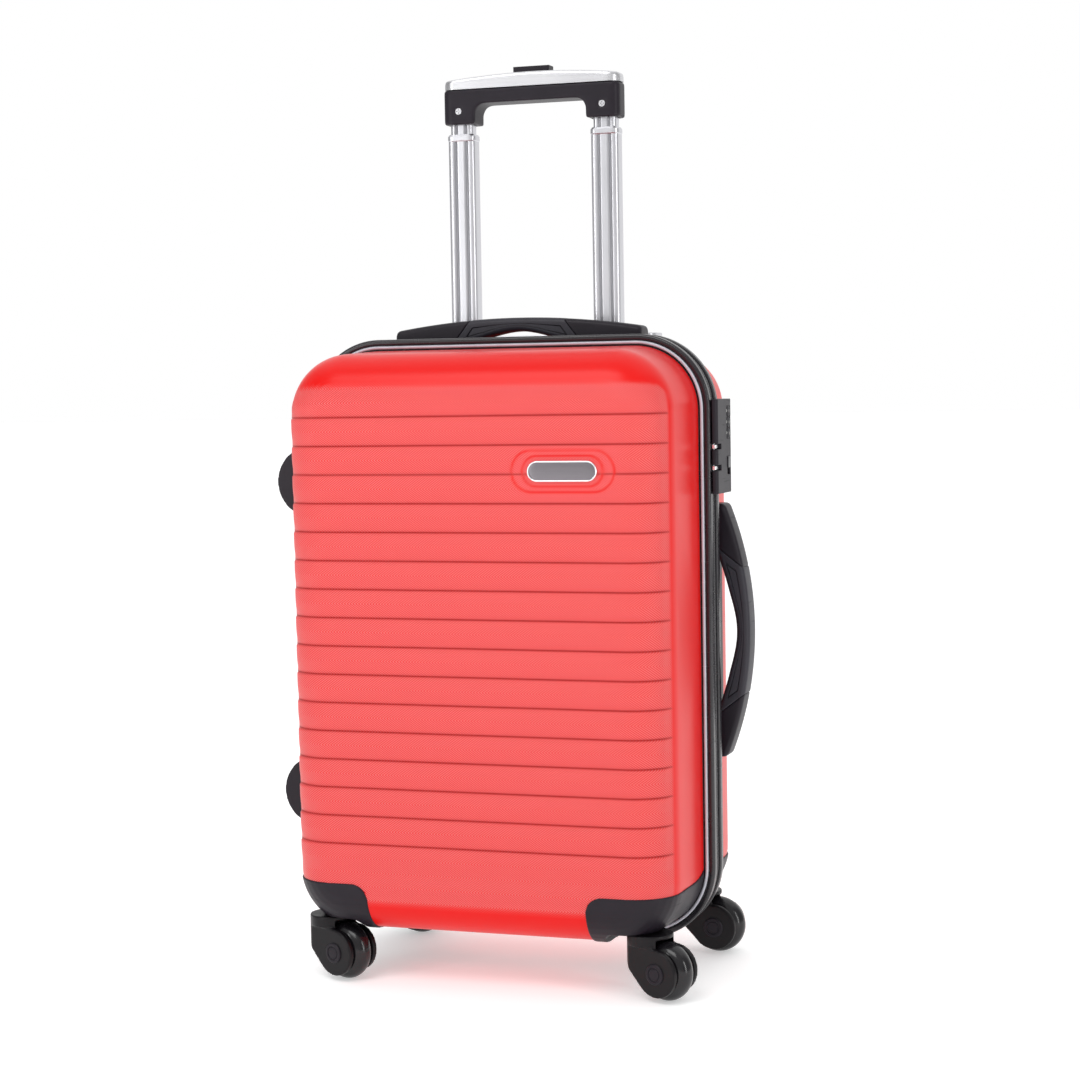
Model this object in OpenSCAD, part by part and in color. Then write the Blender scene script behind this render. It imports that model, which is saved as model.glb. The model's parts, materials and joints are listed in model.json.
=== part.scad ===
// Hard shell cabin suitcase: two moulded trays joined by a zip band, four swivel
// casters and a two-stage trolley. X is the width, Y the depth (front is -Y), Z is up.
// The origin is on the floor, under the middle of the case.

/* [Case] */
// Width of the shells at the rim
case_w = 327; // [300:1:380]
// Height of the shells at the rim
case_h = 474; // [440:1:560]
// Depth of the closed case over the ribs
case_d = 224; // [205:1:270]
// Height of the shells' lower edge above the floor
base_z = 40; // [34:1:48]
// Corner radius of the rim outline
corner_r = 52; // [46:1:62]
// Radius that rolls the face into the sides
edge_r = 36; // [30:1:40]
// Moulding draft of the sides, in degrees
draft = 2.5; // [1:0.5:3]
// Thickness of the shell
wall = 2.4; // [1.6:0.1:3.2]

/* [Ribs] */
// Number of grooves across each face
grooves = 16; // [8:1:16]
// Distance from one groove to the next
groove_pitch = 22.9; // [16:0.1:23]
// Width of a groove
groove_w = 3; // [2:0.5:5]
// Height of a rib above the groove's floor
rib_h = 2; // [1:0.25:3]

/* [Zip band] */
// Depth of the fabric and rubber band between the two rims
band_d = 30; // [24:1:36]
// How far the band stands out of the rims
band_proud = 9.5; // [6:0.5:12]
// Running gap between the two halves of the zip
zip_gap = 0.3; // [0.2:0.1:0.6]
// Distance of the fold line outside the band
fold_out = 1.8; // [1:0.1:3]

/* [Casters] */
// Distance of a swivel axis from the middle of the case, across
caster_x = 136; // [130:1:140]
// Distance of a swivel axis from the middle of the case, front to back
caster_y = 79; // [76:1:82]
// Wheel radius
wheel_r = 23.5; // [20:0.5:24]
// Wheel width
wheel_w = 20; // [14:0.5:22]
// Trail of the axle behind the swivel axis
trail = 16; // [12:0.5:18]
// Height of the housings' flat underside
ring_z = 52.5; // [50:0.5:56]
// Radius of the fork's neck
neck_r = 18.5; // [16:0.5:20]
// Thickness of a fork cheek
cheek_t = 4.5; // [3:0.5:6]
// Radius of the axle
axle_r = 3; // [2.5:0.25:4]
// Radius of the swivel pin
swivel_r = 4; // [3:0.25:5]
// Running clearance of a pin in its bore
pin_gap = 0.05; // [0.02:0.01:0.1]
// Swivel angle of the front forks, from +X
front_swivel = -22; // [-40:1:40]
// Swivel angle of the back forks, from +X
back_swivel = -3; // [-40:1:40]

/* [Trolley] */
// Distance between the two tube axes
tube_span = 128; // [120:1:140]
// Depth of the tubes behind the zip plane
tube_y = 74; // [70:1:76]
// Width of the sliding middle tube
mid_w = 24; // [20:0.5:26]
// Depth of the sliding middle tube
mid_t = 17; // [14:0.5:18]
// Wall of every tube
tube_wall = 1; // [0.8:0.1:1.2]
// Air between one tube and the next
tube_gap = 1; // [0.6:0.1:1.4]
// Height of the middle tube's collar at rest
mid_top = 699; // [650:1:720]
// Length of the middle tube
mid_len = 400; // [340:1:420]
// Length of inner tube that shows between collar and grip
inner_show = 8; // [6:1:30]
// Height of the grip from the bottom of its legs to its flat top
grip_h = 29.5; // [28:0.5:40]
// Rise of the arched cap over the grip
cap_rise = 12; // [9:0.5:14]
// Bow of the cap from its ends to its middle
cap_bow = 4.5; // [2:0.5:6]
// Front-to-back depth of the grip
grip_d = 26; // [24:1:30]
// Travel of the release button
button_travel = 4; // [2:0.5:4]

/* [Handles] */
// Length of the carrying handle on top
top_handle_l = 216; // [200:1:224]
// Height of the top handle over the shell
top_handle_h = 26; // [24:1:34]
// Height of the top handle at its two ends
top_handle_end = 18; // [8:1:20]
// Distance of the top handle behind the zip plane
top_handle_y = 29; // [28:1:32]
// Length of the carrying handle on the side
side_handle_l = 209; // [190:1:220]
// Height of the side handle over the shell
side_handle_h = 31; // [28:1:36]
// Height of the side handle at its two ends
side_handle_end = 8; // [6:1:14]
// Room between the lock's lower end and the side handle
side_handle_gap = 9.5; // [4:0.5:16]
// Distance of the side handle behind the zip plane
side_handle_y = 37; // [34:1:40]
// Width of both handles
handle_w = 24; // [20:1:26]

/* [Lock, feet and badge] */
// Length of the lock
lock_l = 76; // [72:1:84]
// Distance of the lock's middle below the top of the case
lock_drop = 82; // [80:1:86]
// Height of the lock's face over the rim
lock_h = 15; // [14:0.5:17]
// Radius of a number dial
dial_r = 7; // [6.5:0.1:7.5]
// Distance of the upper side feet below the top of the case
foot_drop = 107; // [99:1:119]
// Height of the lower side feet above the bottom of the case
foot_rise = 109; // [100:1:125]
// How far the side feet stand out
foot_proud = 24; // [20:1:28]
// Distance of the side feet from the zip plane
foot_y = 45; // [40:1:50]
// Place of the badge across the front
badge_x = 80; // [60:1:85]
// Distance of the badge below the top of the case
badge_drop = 97; // [89:1:114]
// Length of the badge plate
badge_l = 57; // [40:1:60]

/* [Hidden] */

SHELL_RED = "#e5312a";
CHARCOAL = "#3c3740";
BLACK = "#1d1b1f";
SILVER = "#dcdbe0";
CLOTH = "#4a4a50";

half_w = case_w / 2;
mid_z = base_z + case_h / 2;      // height of the case's middle
top_z = base_z + case_h;          // top of the rims
rim_y = band_d / 2;               // where each shell begins
face_y = case_d / 2 - rib_h;      // floor of the grooves
core_w = half_w - corner_r;       // half width between corner centres
core_h = case_h / 2 - corner_r;   // half height between corner centres
arc_steps = 8;
rib_margin = 53.5;                // first groove to the top edge
rib_end = 13;                     // first groove to the end of the outermost rib
rib_foot = 64;                    // end of the lowest rib to the bottom edge
groove_count = min(grooves, 1 + floor((case_h - rib_margin - rib_end - rib_foot + 0.01) / groove_pitch));
rib_from = face_y - edge_r * 0.45; // where a rib starts on the side fillet
lining_gap = 1.8;                 // shell to lining
lining_t = 1;
lining_in = wall + lining_gap + lining_t;
back_floor = tube_y - mid_t / 2 - tube_gap - tube_wall - 3.5;  // depth of the back lining
outer_w = mid_w + 2 * (tube_gap + tube_wall);
outer_t = mid_t + 2 * (tube_gap + tube_wall);
inner_w = mid_w - 2 * (tube_gap + tube_wall);
inner_t = mid_t - 2 * (tube_gap + tube_wall) + 1;
bezel_h = 12;
bezel_top = top_z + bezel_h;
bezel_l = 216;
bezel_d = outer_t + 12;
outer_bottom = base_z + 22;
leg_z = mid_top + inner_show;
grip_top = leg_z + grip_h;
leg_w = inner_w + 9;
grip_l = tube_span + leg_w;
bar_t = 12.5;
collar_h = 6;
bracket_l = tube_span + outer_w + 6; // length of the foot under the trolley tubes
house_x = max(92, bracket_l / 2 + 1); // inner side of a wheel housing
house_z = 84;                     // top of a wheel housing
house_y = rim_y;                  // rim side of a wheel housing
house_r = 14;
house_proud = 1.2;
skin = 3;
boss_r = 9;
boss_h = 14;
arch_r = 8;                       // arch from the lobe up to the underside
lobe_x = caster_x - 33;                     // outer side of the lobe beside the fork
fork_gap = 0.4;
cap_r = 8.5;
fold_x = -(half_w + band_proud + fold_out);
lock_y0 = -12;
lock_gap = 0.5;                   // dial to its slot
dial_y = rim_y + 2.6 + dial_r + lock_gap;
lock_in = dial_r + lock_gap + 1.8; // half depth of the lock's insert
lock_y1 = dial_y + lock_in + 1;
lock_face = half_w + lock_h;
lock_pocket_in = 7;               // depth of the lock below the rim
dial_x = lock_face + 0.8 - dial_r;
dial_window = sqrt(dial_r * dial_r - pow(dial_r - 2.3, 2)) + lock_gap;
dial_pitch = 9;
dial_t = 7.6;
lock_z = top_z - lock_drop;       // height of the lock's middle
side_handle_z = lock_z - lock_l / 2 - side_handle_gap - side_handle_l / 2;
foot_z = [top_z - foot_drop, base_z + foot_rise];
badge_z = top_z - badge_drop;
dial_z = lock_z + 19;
notch_z = [lock_z, lock_z - 17];
button_z = lock_z - 14;
badge_h = 16.5;
tread = wheel_w / 2;

// x offset of the fillet centre from the corner centre, for the drafted side
function fillet_x() = corner_r - tan(draft) * (face_y - edge_r - rim_y) - edge_r / cos(draft);

// Side, fillet and face of a tray, moved outwards by o: [x from the corner centre, depth]
function contour(o) = concat(
    [[corner_r + o / cos(draft), rim_y]],
    [for (i = [0 : arc_steps])
        let (a = draft + (90 - draft) * i / arc_steps)
        [fillet_x() + (edge_r + o) * cos(a), face_y - edge_r + (edge_r + o) * sin(a)]]);
function reversed(v) = [for (i = [len(v) - 1 : -1 : 0]) v[i]];
// Half width of the case at depth y, for what sits on the drafted sides
function side_x(y) = half_w - tan(draft) * (abs(y) - rim_y);
function shell_top(y) = top_z - tan(draft) * (abs(y) - rim_y);

// Places a tray drawn with its depth upwards: the front tray, or mirrored, the back one
module as_tray(back = false) {
    if (back)
        mirror([0, 1, 0]) translate([0, 0, mid_z]) rotate([90, 0, 0]) children();
    else
        translate([0, 0, mid_z]) rotate([90, 0, 0]) children();
}

// Carries a profile round the rim outline: four straight runs and four corners
module round_rim() {
    for (q = [0 : 3]) {
        w = q % 2 == 0 ? core_w : core_h;
        h = q % 2 == 0 ? core_h : core_w;
        rotate([0, 0, 90 * q]) {
            translate([w, h, 0]) rotate([90, 0, 0]) linear_extrude(2 * h) children();
            translate([w, h, 0]) rotate_extrude(angle = 90, $fn = 64) children();
        }
    }
}

// A tray's wall between two offsets of the contour
module tray_wall(outer, inner) {
    round_rim() polygon(concat(contour(outer), [[0, face_y + outer], [0, face_y + inner]],
                               reversed(contour(inner))));
    translate([-core_w, -core_h, face_y + inner]) cube([2 * core_w, 2 * core_h, outer - inner]);
}

// The whole volume of a tray, moved outwards by o
module tray_solid(o) {
    round_rim() polygon(concat([[0, rim_y]], contour(o), [[0, face_y + o]]));
    translate([-core_w, -core_h, rim_y]) cube([2 * core_w, 2 * core_h, face_y + o - rim_y]);
}

// One rib: the face and its side fillets raised by rib_h, over a length along the height
module rib(length) {
    outer = [for (p = contour(rib_h)) if (p[1] > rib_from) [core_w + p[0], p[1]]];
    inner = [for (p = contour(-wall / 2)) if (p[1] > rib_from) [core_w + p[0], p[1]]];
    rotate([90, 0, 0]) linear_extrude(length)
        polygon(concat(outer, [for (p = reversed(outer)) [-p[0], p[1]]],
                       [for (p = inner) [-p[0], p[1]]], reversed(inner)));
}

// Ribs between the grooves, with a short one beyond the first and the last groove
module ribs() {
    first = case_h / 2 - rib_margin;
    edges = concat([first + rib_end], [for (i = [0 : groove_count - 1]) first - i * groove_pitch],
                   [first - (groove_count - 1) * groove_pitch - rib_end]);
    for (i = [0 : groove_count])
        translate([0, edges[i] - groove_w / 2, 0]) rib(edges[i] - edges[i + 1] - groove_w);
}

// Outline of a right-hand wheel housing in the X-Z plane, grown by g
module house_outline(g = 0) {
    translate([house_x - g, 0]) square([case_w, house_z - house_r]);
    translate([house_x + house_r, 0]) square([case_w, house_z + g]);
    translate([house_x + house_r, house_z - house_r]) circle(r = house_r + g, $fn = 48);
}

module house_block(g = 0, from = house_y) {
    mirror([0, 1, 0]) rotate([90, 0, 0]) translate([0, 0, from - g])
        linear_extrude(case_d) house_outline(g);
    // tail that climbs the side towards the rim
    translate([half_w - 12 - g, 0, 0]) rotate([90, 0, 90]) linear_extrude(40)
        polygon([[from - g, house_z - 5], [from - g, house_z + 6 + g], [house_y + 5, house_z + 3.4 + g],
                 [house_y + 12, house_z + 1.3 + g], [house_y + 22, house_z + g],
                 [house_y + 22, house_z - 5]]);
}

// Both lower corners of a front (or back) tray, where the housings go
module house_blocks(back, g = 0) {
    for (s = [0, 1]) mirror([s, 0, 0]) mirror([0, back ? 0 : 1, 0]) house_block(g);
}

// A block with its four upright edges rounded
module rounded_block(size, r) {
    linear_extrude(size[2]) rounded_rect(size[0], size[1], r);
}

module rounded_rect(w, h, r) {
    square([w - 2 * r, h], center = true);
    square([w, h - 2 * r], center = true);
    for (x = [-1, 1], y = [-1, 1])
        translate([x * (w / 2 - r), y * (h / 2 - r)]) circle(r = r, $fn = 32);
}

// A rounded tube standing at the origin
module tube(w, t, length, r) {
    linear_extrude(length) difference() {
        rounded_rect(w, t, r);
        rounded_rect(w - 2 * tube_wall, t - 2 * tube_wall, r - tube_wall);
    }
}

module at_tubes() {
    for (s = [-1, 1]) translate([s * tube_span / 2, tube_y, 0]) children();
}

/* shells */

module back_shell() {
    color(SHELL_RED) difference() {
        as_tray(true) {
            tray_wall(0, -wall);
            ribs();
        }
        house_blocks(true);
        at_tubes() translate([0, 0, top_z - 30])
            rounded_block([outer_w + 0.6, outer_t + 0.6, 40], 5);
        translate([half_w - 20, dial_y - lock_in - 0.3, lock_z - lock_l / 2 + 4])
            cube([30, 2 * lock_in + 0.6, lock_l - 8]);
    }
}

module front_shell() {
    color(SHELL_RED) difference() {
        as_tray() {
            tray_wall(0, -wall);
            ribs();
        }
        house_blocks(false);
    }
}

/* lining and packing */

module lining_band(inner_depth) {
    steps = arc_steps;
    o = -(wall + lining_gap);
    side = [[corner_r + o, rim_y], [corner_r + o - tan(draft) * (inner_depth - rim_y), inner_depth]];
    round_rim() polygon([side[0], side[1], [0, inner_depth], [0, inner_depth - lining_t],
                         [side[1][0] - lining_t, inner_depth - lining_t],
                         [side[0][0] - lining_t, rim_y]]);
    translate([-core_w, -core_h, inner_depth - lining_t])
        cube([2 * core_w, 2 * core_h, lining_t]);
}

module back_lining() {
    color(CLOTH) difference() {
        as_tray(true) lining_band(back_floor);
        house_blocks(true, 0.6);
        translate([half_w - 12, dial_y - lock_in - 2, lock_z - lock_l / 2])
            cube([30, 2 * lock_in + 4, lock_l]);
    }
}

module front_lining() {
    color(CLOTH) difference() {
        as_tray() tray_wall(-(wall + lining_gap), -lining_in);
        house_blocks(false, 0.6);
    }
}

// A flat zipped pocket sewn to the front lining
module mesh_pocket() {
    color("dimgray") translate([0, -(face_y - lining_in), mid_z + 20])
        rotate([90, 0, 0]) mirror([0, 0, 1]) rounded_block([210, 250, 1.6], 12);
}

strap_w = 25;
strap_t = 1.5;
strap_y = back_floor - lining_t - strap_t;

// Crossed webbing straps that lie on the back lining
module packing_straps() {
    color("black") difference() {
        for (s = [-1, 1]) for (v = [-1, 1])
            translate([0, strap_y, mid_z + 30])
                rotate([0, v * 52, 0]) translate([s * 90, strap_t / 2, 0])
                    cube([140, strap_t, strap_w], center = true);
        translate([0, strap_y, mid_z + 30]) cube([47, 20, 60], center = true);
    }
}

module strap_buckle() {
    color(BLACK) translate([0, strap_y + strap_t, mid_z + 30]) rotate([90, 0, 0])
        rounded_block([46.9, 58, 7], 9);
}

/* zip band */

module back_band() { color(BLACK) as_tray(true) band_ring(); }

module front_band() { color(BLACK) as_tray() band_ring(); }

band_in = rim_y - 9.5;   // where the rubber band ends and the tape begins

module band_ring() {
    x = corner_r;
    round_rim() polygon([[x - wall, rim_y], [x + 1, rim_y], [x + band_proud - 1.5, rim_y - 0.8],
        [x + band_proud, rim_y - 2.5], [x + band_proud, band_in + 1.5],
        [x + band_proud - 1, band_in], [x - wall, band_in]]);
}

tape_out = band_proud - 2;

module tape_ring() {
    x = corner_r;
    round_rim() polygon([[x, band_in], [x + tape_out, band_in], [x + tape_out, 1.6],
        [x + tape_out - 1.2, 1.6], [x + tape_out - 1.2, band_in - 1.2], [x, band_in - 1.2]]);
}

module back_zip_tape() { color(CLOTH) as_tray(true) tape_ring(); }

module front_zip_tape() { color(CLOTH) as_tray() tape_ring(); }

module teeth_ring() {
    x = corner_r + tape_out;
    round_rim() translate([x - 2.2, zip_gap / 2]) square([2.8, 1.6 - zip_gap / 2]);
}

module back_zip_teeth() { color(BLACK) as_tray(true) teeth_ring(); }

module front_zip_teeth() { color(BLACK) as_tray() teeth_ring(); }

slider_x = half_w + tape_out + 0.8;
pull_x = half_w + band_proud + 0.5;

module zip_sliders() {
    color(SILVER) for (z = notch_z)
        translate([slider_x, -3.5, z - 5]) cube([pull_x - slider_x, 7, 10]);
}

// The pulls, laid into the lock's two notches
module zip_pullers() {
    color(SILVER) for (z = notch_z)
        translate([pull_x, lock_y0 + 1, z - 1.6]) cube([lock_face - 2 - pull_x, -lock_y0 - 1, 3.2]);
}

// Cloth along the fold, drawn on the back half only
module hinge_fabric() {
    color(CLOTH) translate([-(half_w - 0.2), zip_gap / 2, mid_z - core_h])
        mirror([1, 0, 0]) cube([1.2, band_in - 1.2 - zip_gap / 2, 2 * core_h]);
}

/* lock */

module lock_housing() {
    slab = lock_face - (half_w + band_proud + 1);
    half_l = lock_l / 2;
    color(CHARCOAL) difference() {
        union() {
            translate([lock_face - slab, lock_y0, lock_z - half_l])
                lock_slab(slab, lock_y1 - lock_y0);
            difference() {
                translate([half_w - 2, rim_y + 0.3, lock_z - half_l])
                    cube([lock_face - slab - half_w + 2, lock_y1 - rim_y - 0.3, lock_l]);
                as_tray(true) tray_solid(0.05);
            }
            translate([half_w - lock_pocket_in, dial_y - lock_in, lock_z - half_l + 4.3])
                cube([lock_pocket_in + 2, 2 * lock_in, lock_l - 8.6]);
        }
        // dial chamber, with one window per dial
        translate([dial_x - dial_r - lock_gap, dial_y - dial_r - lock_gap,
                   dial_z - 1.5 * dial_pitch - 0.4])
            cube([lock_face - 1.5 - dial_x + dial_r + lock_gap, 2 * (dial_r + lock_gap),
                  3 * dial_pitch + 0.8]);
        for (i = [-1 : 1]) translate([lock_face - 3, dial_y - dial_window, dial_z + i * dial_pitch
                                      - dial_t / 2 - 0.25])
            cube([10, 2 * dial_window, dial_t + 0.5]);
        translate([dial_x, dial_y, dial_z - 20]) cylinder(r = 1.6, h = 40, $fn = 24);
        // notches for the two pulls
        for (z = notch_z) translate([half_w, lock_y0 - 1, z - 2.2])
            cube([30, 1.5 - lock_y0, 4.4]);
        // chamber and window of the release button
        translate([lock_face - 6, dial_y - 5.8, button_z - 11.3]) cube([3.5, 11.6, 18.6]);
        translate([lock_face - 3, dial_y - 4.5, button_z - 9.5]) cube([10, 9, 15]);
    }
}

// A slab with its two long outer edges rounded, standing on its end
module lock_slab(h, d) {
    r = 3.2;
    linear_extrude(lock_l) intersection() {
        square([h, d]);
        union() {
            translate([0, r]) square([h, d - 2 * r]);
            square([h - r, d]);
            for (y = [r, d - r]) translate([h - r, y]) circle(r = r, $fn = 32);
        }
    }
}

module lock_shaft() {
    color(SILVER) translate([dial_x, dial_y, dial_z - 16.5])
        cylinder(r = 1.55, h = 33, $fn = 24);
}

module dial(i) {
    color(SILVER) translate([dial_x, dial_y, dial_z + (1 - i) * dial_pitch - dial_t / 2])
        difference() {
            cylinder(r = dial_r, h = dial_t, $fn = 60);
            translate([0, 0, -1]) cylinder(r = 1.6 + pin_gap, h = dial_t + 2, $fn = 24);
            for (a = [0 : 36 : 324]) rotate([0, 0, a + 18])
                translate([dial_r + 0.5, 0, -1]) cylinder(r = 1, h = dial_t + 2, $fn = 16);
        }
}

module lock_dial_1() { dial(0); }

module lock_dial_2() { dial(1); }

module lock_dial_3() { dial(2); }

module lock_button() {
    color(SILVER) translate([lock_face, dial_y, button_z]) {
        translate([-5.8, -5.5, -5.4]) cube([3, 11, 12.4]);
        translate([-3, -4.2, -3.9]) cube([3.8, 8.4, 9.1]);
    }
}

/* trolley */

module outer_tubes() {
    color(SILVER) at_tubes() translate([0, 0, outer_bottom])
        tube(outer_w, outer_t, bezel_top - 4 - outer_bottom, 5);
}

// Plastic foot that holds both tubes at the bottom of the back tray
module tube_bracket() {
    color(BLACK) translate([0, tube_y, outer_bottom]) mirror([0, 0, 1])
        rounded_block([bracket_l, outer_t + 4, 14], 6);
}

module trolley_bezel() {
    color(SILVER) difference() {
        translate([0, tube_y, top_z - 6]) rounded_block([bezel_l, bezel_d, bezel_h + 6], 9);
        as_tray(true) tray_solid(0.02);
        at_tubes() {
            translate([0, 0, top_z - 20])
                rounded_block([mid_w + 0.8, mid_t + 0.8, 60], 4.2);
            translate([0, 0, top_z - 20])
                rounded_block([outer_w + 0.1, outer_t + 0.1, 20 + bezel_h - 4], 5);
        }
    }
}

module mid_tubes() {
    color(SILVER) at_tubes() translate([0, 0, mid_top - mid_len])
        tube(mid_w, mid_t, mid_len - collar_h, 4);
}

// Ferrules at the top of the middle tubes and guide blocks at their lower ends
module mid_collars() {
    color(SILVER) at_tubes() {
        translate([0, 0, mid_top - collar_h]) difference() {
            rounded_block([mid_w + 1, mid_t + 1, collar_h], 4.5);
            translate([0, 0, -1]) rounded_block([inner_w + 0.6, inner_t + 0.6, collar_h + 2], 3.8);
        }
        translate([0, 0, mid_top - mid_len - 12])
            rounded_block([outer_w - 2 * tube_wall - 0.7, outer_t - 2 * tube_wall - 0.7, 12], 3.6);
    }
}

module inner_tubes() {
    color(SILVER) at_tubes() translate([0, 0, mid_top - mid_len + 14])
        tube(inner_w, inner_t, leg_z + 16 - (mid_top - mid_len + 14), 3.5);
}

module grip_side_outline() {
    z0 = leg_z;
    r = 9;
    bar_z = grip_top - bar_t;
    inside = tube_span / 2 - leg_w / 2;
    difference() {
        translate([-grip_l / 2, z0]) square([grip_l, grip_h]);
        translate([-inside + r, z0 - 1]) square([2 * (inside - r), bar_z - z0 + 1]);
        translate([-inside, z0 - 1]) square([2 * inside, bar_z - r - z0 + 1]);
        for (s = [-1, 1]) translate([s * (inside - r), bar_z - r]) circle(r = r, $fn = 48);
    }
}

module grip_body() {
    color(CHARCOAL) difference() {
        intersection() {
            translate([0, tube_y + grip_d / 2, 0]) rotate([90, 0, 0])
                linear_extrude(grip_d) grip_side_outline();
            translate([0, tube_y, leg_z - 1]) rounded_block([grip_l, grip_d, grip_h + 2], 7);
        }
        at_tubes() {
            translate([0, 0, leg_z - 1])
                rounded_block([inner_w + 0.02, inner_t + 0.02, 17.01], 3.51);
            translate([0, 0, leg_z + 10]) cylinder(r = 3.2, h = grip_h, $fn = 24);
            translate([0, -grip_d / 2 - 1, leg_z + 11]) rotate([-90, 0, 0])
                cylinder(r = 3, h = 3, $fn = 32);
        }
        translate([-tube_span / 2 - 3, tube_y - 4, grip_top - 8]) cube([tube_span + 6, 8, 20]);
        translate([-16.4, tube_y - 6.4, grip_top - 8]) cube([32.8, 12.8, 20]);
    }
}

// Arched satin cap along the top of the grip
module grip_cap() {
    arc = (pow(grip_l / 2, 2) + pow(cap_bow, 2)) / (2 * cap_bow);
    color(SILVER) difference() {
        intersection() {
            translate([0, tube_y, grip_top]) rounded_block([grip_l, grip_d, cap_rise], 7);
            translate([0, tube_y + grip_d, grip_top + cap_rise - arc]) rotate([90, 0, 0])
                cylinder(r = arc, h = 2 * grip_d, $fn = 180);
        }
        translate([-16.4, tube_y - 6.4, grip_top - 1]) cube([32.8, 12.8, 30]);
        translate([-tube_span / 2 - 3, tube_y - 4, grip_top - 1]) cube([tube_span + 6, 8, 4]);
    }
}

module grip_screws() {
    color(SILVER) at_tubes() translate([0, -grip_d / 2 + 0.6, leg_z + 11])
        rotate([-90, 0, 0]) difference() {
            cylinder(r = 2.9, h = 1.4, $fn = 32);
            translate([-0.35, -1.8, -0.1]) cube([0.7, 3.6, 0.8]);
            translate([-1.8, -0.35, -0.1]) cube([3.6, 0.7, 0.8]);
        }
}

// Push button with the bar that presses both rods
module grip_button() {
    z1 = grip_top + cap_rise + button_travel + 1;
    color(CHARCOAL) translate([-16, tube_y - 6, grip_top - 2.5])
        cube([32, 12, z1 - grip_top + 2.5]);
}

module release_rods() {
    rod_top = grip_top - 2.5;
    color(SILVER) {
        difference() {
            translate([-tube_span / 2 - 2, tube_y - 3, rod_top]) cube([tube_span + 4, 6, 3]);
            translate([-16, tube_y - 6, rod_top - 1]) cube([32, 12, 6]);
        }
        at_tubes() translate([0, 0, mid_top - mid_len + 30])
            cylinder(r = 1.6, h = rod_top + 0.5 - (mid_top - mid_len + 30), $fn = 20);
    }
}

/* carrying handles */

// Side view of a low arched handle: flat feet, arched top that falls to end at both ends, slot underneath
module handle_outline(length, h, end, gap_l, bar) {
    rise = h - end;
    arc = (pow(length / 2, 2) + pow(rise, 2)) / (2 * rise);
    gap_rise = h - bar;
    gap_arc = (pow(gap_l / 2, 2) + pow(gap_rise, 2)) / (2 * gap_rise);
    difference() {
        intersection() {
            translate([-length / 2, 0]) square([length, h]);
            translate([0, h - arc]) circle(r = arc, $fn = 200);
        }
        intersection() {
            translate([-gap_l / 2, -1]) square([gap_l, h]);
            translate([0, gap_rise - gap_arc]) circle(r = gap_arc, $fn = 200);
        }
    }
}

module handle_slab(length, h, end, gap_l, bar) {
    translate([0, handle_w / 2, 0]) rotate([90, 0, 0]) linear_extrude(handle_w)
        handle_outline(length, h, end, gap_l, bar);
}

// The soft grip: the middle of the arch, between slanting seams
module grip_zone(length, grow) {
    translate([0, handle_w, 0]) rotate([90, 0, 0]) linear_extrude(2 * handle_w)
        polygon([[-length / 2 - 9 + grow, -2], [length / 2 + 9 - grow, -2],
                 [length / 2 - 9 - grow, 60], [-length / 2 + 9 + grow, 60]]);
}

top_grip_l = 104;
top_gap_l = 128;
side_grip_l = 122;
side_gap_l = 134;
bar_h = 11;

module at_top_handle() {
    translate([0, top_handle_y, shell_top(top_handle_y + handle_w / 2)]) children();
}

module top_handle_ends() {
    color(CHARCOAL) difference() {
        at_top_handle() difference() {
            handle_slab(top_handle_l, top_handle_h + 1, top_handle_end, top_gap_l, bar_h);
            grip_zone(top_grip_l, 0);
        }
        as_tray(true) tray_solid(0.02);
    }
}

module top_handle_grip() {
    color(BLACK) at_top_handle() intersection() {
        handle_slab(top_handle_l, top_handle_h + 1, top_handle_end, top_gap_l, bar_h);
        grip_zone(top_grip_l, 0);
    }
}

side_base_t = 3;

module at_side_handle() {
    translate([side_x(side_handle_y - handle_w / 2) + side_base_t, side_handle_y, side_handle_z])
        rotate([0, 90, 0]) children();
}

module side_handle_base() {
    color(BLACK) difference() {
        translate([side_x(side_handle_y + handle_w / 2) - 2, side_handle_y - handle_w / 2,
                   side_handle_z - side_handle_l / 2])
            cube([side_x(side_handle_y - handle_w / 2) + side_base_t
                  - side_x(side_handle_y + handle_w / 2) + 2, handle_w, side_handle_l]);
        as_tray(true) tray_solid(0.02);
    }
}

module side_handle_ends() {
    color(CHARCOAL) at_side_handle() difference() {
        handle_slab(side_handle_l, side_handle_h - side_base_t, side_handle_end, side_gap_l,
                    bar_h);
        grip_zone(side_grip_l, 0);
    }
}

module side_handle_grip() {
    color(BLACK) at_side_handle() intersection() {
        handle_slab(side_handle_l, side_handle_h - side_base_t, side_handle_end, side_gap_l,
                    bar_h);
        grip_zone(side_grip_l, 0);
    }
}

/* side feet */

module feet(side) {
    r = 29;
    for (z = foot_z) difference() {
        translate([-side_x(foot_y) - foot_proud + r, side * foot_y + 13, z]) rotate([90, 0, 0])
            cylinder(r = r, h = 26, $fn = 72);
        as_tray(side > 0) tray_solid(0.02);
        translate([-half_w + 12, side * foot_y - 20, z - 40]) cube([60, 40, 80]);
    }
}

module back_feet() { color(CHARCOAL) feet(1); }

module front_feet() { color(CHARCOAL) feet(-1); }

/* badge */

module oval(l, h, t) {
    rotate([90, 0, 0]) linear_extrude(t) {
        square([l - h, h], center = true);
        for (s = [-1, 1]) translate([s * (l - h) / 2, 0]) circle(r = h / 2, $fn = 48);
    }
}

module at_badge() {
    translate([badge_x, -case_d / 2 - 0.02, badge_z]) children();
}

module badge_bezel() {
    color(SILVER) at_badge() difference() {
        oval(badge_l, badge_h, 2.2);
        translate([0, 1, 0]) oval(badge_l - 3, badge_h - 3, 5);
    }
}

module badge_plate() {
    color("dimgray") at_badge() oval(badge_l - 3.02, badge_h - 3.02, 1.6);
}

/* wheel housings: drawn as the back right-hand one */

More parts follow.
